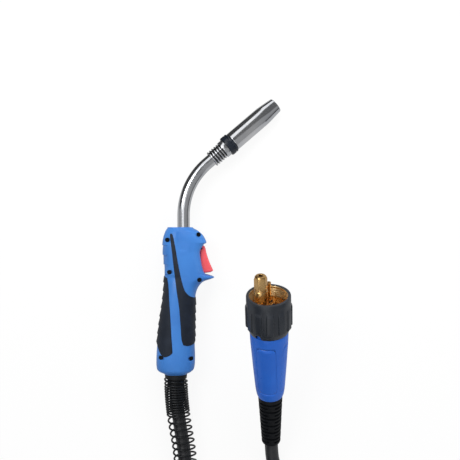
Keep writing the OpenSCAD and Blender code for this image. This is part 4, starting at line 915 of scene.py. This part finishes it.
def finned():
    """The neck's metal, with painted shade that darkens it towards the bottom of the cooling grooves."""
    look = metal("finned_metal", *CHROME, 0.16, streaks=(300, 300, 60), strength=0.02)
    place_at, turn, size = HEAD.decompose()
    local = look.node("ShaderNodeMapping", Location=place_at, Rotation=turn.to_euler(), Scale=size)
    local.vector_type = "TEXTURE"
    look.join(look.where, local.inputs["Vector"])
    flat = look.tree.nodes.new("ShaderNodeVectorMath")
    flat.operation = "MULTIPLY"
    flat.inputs[1].default_value = (1, 1, 0)
    look.join(local.outputs["Vector"], flat.inputs[0])
    out = look.tree.nodes.new("ShaderNodeVectorMath")
    out.operation = "LENGTH"
    look.join(flat.outputs["Vector"], out.inputs[0])
    # Painted shade: the base colour goes dark towards the roots of the fins, where shade falls between them.
    painted_groove_shade = look.node("ShaderNodeHueSaturation")
    base = look.shader.inputs["Base Color"]
    look.join(base.links[0].from_socket, painted_groove_shade.inputs["Color"])
    look.join(look.spread(out.outputs["Value"], 0.12, 1.0, FIN_ROOT / 2 + 0.2, FIN_D / 2 - 0.15),
              painted_groove_shade.inputs["Value"])
    look.join(painted_groove_shade.outputs["Color"], base)
    return look


NECK_OD = 13.0
NECK_LOW = 84.0
NECK_SEAT = 10.0
HEAD_LEN = 20.2
FINS, FIN_PITCH, FIN_W, FIN_D, FIN_ROOT = 5, 3.0, 1.5, 17.5, 14.9
BAND_D = 18.5
SPIGOT_R, SPIGOT_END = 6.0, 45.0
TUBE_SEAT_R, TUBE_SEAT_END, CORE_BORE_R = 6.55, 11.2, 4.05
NOZZLE_SEAT_R = 8.5
RING_START, RING_LEN, RING_R = 20.25, 8.3, 11.0
NOZZLE_START, NOZZLE_END, NOZZLE_R, NOZZLE_BORE = 28.85, 90.05, 10.0, 8.0
MOUTH_R, MOUTH_BORE, TAPER = 8.1, 6.25, 18.0


def make_neck():
    path = [Vector((NECK_X, NECK_LOW + (BEND_Y - NECK_LOW) * k / 24, 0)) for k in range(24)]
    for k in range(65):
        a = NECK_ANGLE * k / 64
        path.append(Vector((NECK_X + BEND_R * (1 - math.cos(a)), BEND_Y + BEND_R * math.sin(a), 0)))
    d = Vector((math.sin(NECK_ANGLE), math.cos(NECK_ANGLE), 0))
    path += [path[-1] + d * (NECK_RUN + NECK_SEAT - 0.1) * k / 6 for k in range(1, 7)]
    link("neck_tube", *sweep(path, NECK_OD / 2, 64), TORCH, "torch", "neck_chrome", ("swan_neck",), 60)

    fins = [(TUBE_SEAT_R, 0)]
    for k in range(FINS):
        z = k * FIN_PITCH + 0.3
        fins += [(FIN_ROOT / 2, z), (FIN_D / 2, z + 0.18), (FIN_D / 2, z + FIN_W - 0.18),
                 (FIN_ROOT / 2, z + FIN_W)]
    fins += [(FIN_ROOT / 2, 15), (BAND_D / 2, 15.2), (BAND_D / 2, HEAD_LEN), (SPIGOT_R, HEAD_LEN),
             (SPIGOT_R, SPIGOT_END), (CORE_BORE_R, SPIGOT_END), (CORE_BORE_R, TUBE_SEAT_END),
             (TUBE_SEAT_R, TUBE_SEAT_END)]
    link("head_fins", *lathe(rounded(fins, 0.25, 2)), HEAD, "torch", "neck_chrome", ("neck_head",), 50,
         finned())

    high = RING_START + RING_LEN
    ring = [(SPIGOT_R + 0.1, RING_START), (RING_R - 0.9, RING_START), (RING_R, RING_START + 0.9),
            (RING_R, RING_START + 5.0), (RING_R - 0.5, RING_START + 5.3), (RING_R - 0.5, RING_START + 5.9),
            (RING_R, RING_START + 6.2), (RING_R, high - 0.9), (RING_R - 0.9, high), (SPIGOT_R + 0.1, high)]
    link("insulating_ring", *lathe(rounded(ring, 0.3, 3)), HEAD, "torch", "ring_dark",
         ("insulator_ring",), 50)

    nozzle = [(NOZZLE_SEAT_R, NOZZLE_START), (NOZZLE_R - 0.5, NOZZLE_START), (NOZZLE_R, NOZZLE_START + 0.5),
              (NOZZLE_R, NOZZLE_END - TAPER), (MOUTH_R, NOZZLE_END - 0.5), (MOUTH_R - 0.5, NOZZLE_END),
              (MOUTH_BORE, NOZZLE_END), (MOUTH_BORE, NOZZLE_END - 4), (NOZZLE_BORE, NOZZLE_END - TAPER),
              (NOZZLE_BORE, SPIGOT_END), (NOZZLE_SEAT_R, SPIGOT_END)]
    soft = [0.3, 0.3, 0.3, 5, 0.4, 0.4, 0.4, 0.5, 1, 0.2, 0.2]
    link("nozzle_shell", *lathe(rounded(nozzle, soft, 6), 128), HEAD, "nozzle", "nozzle_chrome",
         ("gas_nozzle",), 40)


make_neck()

# -------------------- kink spring

SPRING_OD, SPRING_WIRE = 25.0, 2.0
LOOSE_TURNS, CLOSE_TURNS, OPEN_TURNS = 1.5, 11.6, 11.0
LOOSE_PITCH, CLOSE_PITCH, OPEN_PITCH = 4.0, 2.6, 7.1
SPRING_START = SEAT_OUT + 0.3 + SPRING_WIRE / 2
SPRING_RINGS = 28


def make_spring():
    axis = smooth_path([
        (0, 20, AXIS_HEIGHT), (0, 0, AXIS_HEIGHT), (0.4, -20, 19.4), (2.1, -40, 17.9), (5, -60, 16),
        (8.2, -80, 14.1), (9.2, -100, 12.9), (3, -120, 12.7), (-9, -140, 12.7)], 16)
    points = np.array([tuple(p) for p in axis])
    run = np.concatenate([[0], np.cumsum(np.linalg.norm(np.diff(points, axis=0), axis=1))])

    def at(s):
        return Vector([float(np.interp(s, run, points[:, k])) for k in range(3)])

    def down(turn):
        """Length along the axis at a turn of the wire."""
        loose = min(turn, LOOSE_TURNS)
        close = min(max(turn - LOOSE_TURNS, 0), CLOSE_TURNS)
        wide = max(turn - LOOSE_TURNS - CLOSE_TURNS, 0)
        return SPRING_START + loose * LOOSE_PITCH + close * CLOSE_PITCH + wide * OPEN_PITCH

    turns = LOOSE_TURNS + CLOSE_TURNS + OPEN_TURNS
    r = (SPRING_OD - SPRING_WIRE) / 2
    wire = []
    for i in range(int(turns * SPRING_RINGS) + 1):
        turn = i / SPRING_RINGS
        s = down(turn)
        d = (at(s + 1) - at(s - 1)).normalized()
        side = d.cross(Vector((0, 0, 1))).normalized()
        up = side.cross(d)
        a = 2 * math.pi * turn
        wire.append(at(s) + r * (side * math.cos(a) + up * math.sin(a)))
    first = wire[0] - SPRING_WIRE * (wire[1] - wire[0]).normalized()
    last = wire[-1] + SPRING_WIRE * (wire[-1] - wire[-2]).normalized()
    link("kink_guard", *sweep([first] + wire + [last], SPRING_WIRE / 2, 10), BASE, "torch",
         "spring_black", ("kink_spring",), 60)


make_spring()

# -------------------- connector

RELIEF_LEN, RELIEF_D, RELIEF_END_D, RELIEF_RIBS = 60.0, 19.6, 25.0, 12
RELIEF_PLUG_R, RELIEF_PLUG_LEN, RELIEF_BORE_R = 11.5, 12.0, 7.15
HOUSING_R, HOUSING_LEN, HOUSING_WALL = 37.9 / 2, 77.2, 2.2
HOUSING_END = RELIEF_LEN + HOUSING_LEN
RIM = HOUSING_END + 40.0
SOCKET_FLOOR = RIM - 12
FLANGE_LOW = SOCKET_FLOOR - 6
LIP_R, LIP_LEN = HOUSING_R - 1.7, 3.2
SHANK_R = 15.0
WEB_LOW = HOUSING_END + LIP_LEN + 2
HOUSING_SHAPE = [
    (0, 12.9), (2.65, 13.7), (8.5, 14.65), (18.6, 15.5), (44, 17.25), (HOUSING_LEN, HOUSING_R)
]
PANELS, PANEL_TURN = 4, math.radians(15)
PANEL_LOW, PANEL_HIGH, PANEL_HALF, PANEL_ROUND = RELIEF_LEN + 10.5, RELIEF_LEN + 66, 9.5, 5.2
NUT_R, NUT_GRIP_R, NUT_GRIPS, GRIP_W = 21.6, 22.8, 12, 7.0
NOTCH_HALF, NOTCH_TURN = 3.0, math.radians(-125)
RING_SEAT_R, THREAD_R, THREAD_PITCH, THREAD_DEPTH = 20.1, 18.5, 2.2, 0.95
MAIN_AT, MAIN_R, MAIN_BORE_R = (-7.2, -2.3), 6.6, 2.5
LINER_NUT_FLAT, LINER_NUT_R, LINER_NUT_LEN = 11.3 / 2, 6.5, 15.0
LINER_NUT_TURN = math.radians(53.4)
HOUSING_SCREW = HOUSING_END - 6
SCREW_BORE_R, SCREW_HEAD_R = 1.55, 2.8


def housing_r(s):
    return float(outline(HOUSING_SHAPE, s))


def surface_of_rings(radius, heights, sides):
    """Points and faces of a closed form that has radius(angles, i) at each height."""
    angles = 2 * np.pi * np.arange(sides) / sides
    rows = []
    for i, z in enumerate(heights):
        r = radius(angles, i)
        rows.append(np.stack([r * np.cos(angles), r * np.sin(angles), z + 0 * angles], -1))
    return np.concatenate(rows), loop_faces(len(heights), sides)


def make_relief():
    pitch = (RELIEF_LEN - 6) / RELIEF_RIBS
    profile = [(RELIEF_BORE_R, 0, 0), (RELIEF_D / 2 - 1.2, 0, 0), (RELIEF_D / 2 - 0.35, 0.35, 0),
               (RELIEF_D / 2, 1.2, 0)]
    for k in range(RELIEF_RIBS):
        for at, drop in ((0.3, 0), (0.4, 0.05), (0.46, 0.4), (0.5, 1), (0.86, 1), (0.9, 0.4), (0.96, 0.05)):
            s = 1.6 + (k + at) * pitch
            r = (RELIEF_D + (RELIEF_END_D - RELIEF_D) * s / RELIEF_LEN) / 2
            profile.append((r, s, drop * (1 if k % 2 else -1)))
    profile += [(RELIEF_END_D / 2 - 0.2, RELIEF_LEN - 0.6, 0), (RELIEF_END_D / 2 - 0.4, RELIEF_LEN - 0.05, 0),
                (RELIEF_PLUG_R, RELIEF_LEN - 0.05, 0), (RELIEF_PLUG_R, RELIEF_LEN + RELIEF_PLUG_LEN, 0),
                (RELIEF_BORE_R, RELIEF_LEN + RELIEF_PLUG_LEN, 0)]

    def radius(angles, i):
        r, _, drop = profile[i]
        if not drop:
            return r + 0 * angles
        turn = 0 if drop > 0 else math.pi / 2
        web = np.clip((np.abs(np.cos(angles - turn)) - 0.93) / 0.03, 0, 1)
        return r - 2.0 * abs(drop) * (1 - web)

    return link("relief_boot", *surface_of_rings(radius, [p[1] for p in profile], 96), CONN, "torch",
                "relief_black", ("strain_relief",), 40)


def make_housing():
    steps = [0, 0.4, 1.3, 2.65, 4, 6, 8.5, 11, 14, 18.6, 22, 27, 32, 38, 44, 50, 56, 62, 68, 74]
    profile = [(housing_r(s) - (0.35 if s == 0 else 0), RELIEF_LEN + s) for s in steps]
    profile += [(HOUSING_R, HOUSING_END - 0.9), (HOUSING_R - 0.25, HOUSING_END - 0.25),
                (HOUSING_R - 0.9, HOUSING_END), (LIP_R, HOUSING_END), (LIP_R, HOUSING_END + LIP_LEN),
                (SHANK_R + 0.1, HOUSING_END + LIP_LEN), (SHANK_R + 0.1, HOUSING_END - 15),
                (housing_r(44) - HOUSING_WALL - 1, HOUSING_END - 18)]
    profile += [(housing_r(s) - HOUSING_WALL, RELIEF_LEN + s) for s in (44, 34, 25, 18.6, 13.5, 10)]
    profile += [(housing_r(10) - HOUSING_WALL - 1, RELIEF_LEN + 7), (RELIEF_PLUG_R + 0.1, RELIEF_LEN + 7),
                (RELIEF_PLUG_R + 0.1, RELIEF_LEN)]
    housing = link("plug_housing", *lathe(profile, 160), CONN, "torch", "connector_blue",
                   ("connector_housing",), 40)
    cutters = []
    corners = [(-PANEL_HALF, PANEL_LOW), (PANEL_HALF, PANEL_LOW),
               (PANEL_HALF, PANEL_HIGH), (-PANEL_HALF, PANEL_HIGH)]
    groove = [Vector((x, 0, z)) for x, z in rounded(corners, PANEL_ROUND, 6)]
    middle = Vector((0, 0, (PANEL_LOW + PANEL_HIGH) / 2))
    for k in range(PANELS):
        around = CONN @ Matrix.Rotation(2 * math.pi * k / PANELS - PANEL_TURN, 4, "Z")
        verts, count = [], len(groove)
        for depth, grow in ((0.55, -0.15), (3, -0.6), (3, 0.6), (0.55, 0.15)):
            for p in groove:
                away = (p - middle).normalized()
                q = p + away * grow
                r = housing_r(q.z - RELIEF_LEN)
                y = math.sqrt(max(1, r * r - q.x * q.x))
                verts.append((q.x, -(y - 0.75 + depth), q.z))
        cutters.append(tool(verts, loop_faces(4, count), around))
    screw = lathe([(0, 5), (SCREW_BORE_R, 5), (SCREW_BORE_R, HOUSING_R - 2.2),
                   (SCREW_HEAD_R, HOUSING_R - 2.2), (SCREW_HEAD_R, HOUSING_R - 0.3),
                   (3.4, HOUSING_R + 0.4), (3.4, 24), (0, 24)], 40)
    cutters.append(tool(*screw, CONN @ Matrix.Translation((0, 0, HOUSING_SCREW)) @
                        Matrix.Rotation(-math.pi / 2, 4, "X")))
    cut(housing, cutters)
    return housing


def make_nut():
    low = HOUSING_END + 0.3
    taper = HOUSING_END + 6
    grip_profile = [
        (low, NUT_R - 2.9, 0), (low + 0.2, NUT_R - 2.35, 0), (low + 0.7, NUT_R - 2.05, 0),
        (taper - 1.4, NUT_R - 0.8, 0), (taper - 0.1, NUT_R - 0.42, 0),
        (taper + 0.3, NUT_R - 0.38, 0.25), (taper + 1.2, NUT_R - 0.3, 0.92),
        (taper + 2, NUT_R - 0.25, 1), (taper + 6, NUT_R, 1), (RIM - 13, NUT_R, 1), (RIM - 12.4, NUT_R, 0.92),
        (RIM - 10.2, NUT_R, 0.12), (RIM - 9.7, NUT_R, 0), (RIM - 5, NUT_R, 0),
        (RIM - 0.9, NUT_R - 0.1, 0), (RIM - 0.25, NUT_R - 0.35, 0), (RIM, NUT_R - 1.0, 0)
    ]
    inner = [(RIM - 0.05, RING_SEAT_R - 1.2), (RIM - 0.4, RING_SEAT_R - 1.4), (RIM - 0.45, RING_SEAT_R),
             (FLANGE_LOW - 0.3, RING_SEAT_R),
             (FLANGE_LOW - 0.3, SHANK_R + 0.3), (WEB_LOW, SHANK_R + 0.3), (WEB_LOW, LIP_R + 0.3),
             (low, LIP_R + 0.3)]
    heights = [p[0] for p in grip_profile] + [p[0] for p in inner]
    pitch = 360 / NUT_GRIPS
    half = math.degrees(math.asin(GRIP_W / 2 / NUT_GRIP_R))

    def radius(angles, i):
        if i >= len(grip_profile):
            return inner[i - len(grip_profile)][1] + 0 * angles
        _, r, share = grip_profile[i]
        turn = (np.degrees(angles) + pitch / 2) % pitch - pitch / 2
        t = np.clip((half + 0.6 - np.abs(turn)) / 2.2, 0, 1)
        return r + eased((NUT_GRIP_R - r) * share, t)

    nut = link("nut_collar", *surface_of_rings(radius, heights, NUT_GRIPS * 30), CONN, "adaptor_nut",
               "collar_grey", ("adaptor_nut",), 20)
    low, high = HOUSING_END - 5, HOUSING_END + 5.4
    arch = rounded([(-NOTCH_HALF, low), (NOTCH_HALF, low), (NOTCH_HALF, high), (-NOTCH_HALF, high)], 2.8, 6)
    notch = [(x, y, z) for x in (LIP_R, LIP_R + 20) for y, z in arch]
    cut(nut, [tool(notch, tube_faces(2, len(arch)), CONN @ Matrix.Rotation(NOTCH_TURN, 4, "Z"))])
    return nut


def make_thread():
    low, high = FLANGE_LOW + 0.3, RIM - 0.5
    count = int((high - low - 1.6) / THREAD_PITCH)
    profile = [(RING_SEAT_R - 0.1, low), (RING_SEAT_R - 0.1, high - 0.3), (RING_SEAT_R - 0.4, high),
               (THREAD_R + 0.9, high), (THREAD_R + 0.1, high - 0.8)]
    profile += [(None, high - 1.0 - k * THREAD_PITCH / 8) for k in range(count * 8 + 1)]
    profile += [(THREAD_R, low)]

    def radius(angles, i):
        r, z = profile[i]
        if r is not None:
            return r + 0 * angles
        t = (z / THREAD_PITCH + angles / (2 * np.pi)) % 1.0
        wave = np.clip(1.25 - 2.5 * np.abs(t - 0.5), 0, 1)
        edge = min(1, (high - 1.0 - z) / THREAD_PITCH, (z - low) / THREAD_PITCH)
        return THREAD_R + THREAD_DEPTH * (1 - wave) * max(0, edge)

    return link("nut_thread", *surface_of_rings(radius, [p[1] for p in profile], 96), CONN,
                "adaptor_nut", "brass", ("nut_thread_ring",), 40, THREAD)


def make_pins():
    top = RIM + 7.5
    floor = SOCKET_FLOOR + 0.05
    groove_low, groove_high = SOCKET_FLOOR + 3.2, SOCKET_FLOOR + 5.2
    main = [(MAIN_BORE_R, HOUSING_END - 34), (4.8, HOUSING_END - 34), (4.8, HOUSING_END - 22),
            (5.8, HOUSING_END - 22), (5.8, floor), (MAIN_R, floor), (MAIN_R, groove_low),
            (MAIN_R - 0.35, groove_low + 0.3), (MAIN_R - 0.35, groove_high - 0.3), (MAIN_R, groove_high),
            (MAIN_R, top - 0.7), (5.9, top), (MAIN_BORE_R, top)]
    place = CONN @ Matrix.Translation((*MAIN_AT, 0))
    pin = link("main_pin_body", *lathe(rounded(main, 0.25, 2), 72), place, "torch", "brass",
               ("main_pin",), 40)
    low, end = top + 0.05, LINER_NUT_LEN
    rows = [(0, 6.2, 0), (1.3, 6.2, 0), (1.5, 6.0, 0), (1.6, LINER_NUT_R, 1), (end - 3.2, LINER_NUT_R, 1),
            (end - 1.2, 5.55, 1), (end - 0.25, 4.75, 1), (end, 4.3, 1), (end, 2.4, 0), (end - 0.4, 2.0, 0),
            (0, 2.0, 0)]

    def radius(angles, i):
        _, r, hexed = rows[i]
        if not hexed:
            return r + 0 * angles
        turn = (angles + LINER_NUT_TURN) % (math.pi / 3) - math.pi / 6
        return np.minimum(r, LINER_NUT_FLAT / np.cos(turn))

    liner_nut = link("liner_nut_hex", *surface_of_rings(radius, [low + q[0] for q in rows], 96), place,
                     "torch", "brass", ("liner_nut",), 30)
    return pin, liner_nut


relief = make_relief()
housing = make_housing()
nut = make_nut()
thread = make_thread()
pins = make_pins()
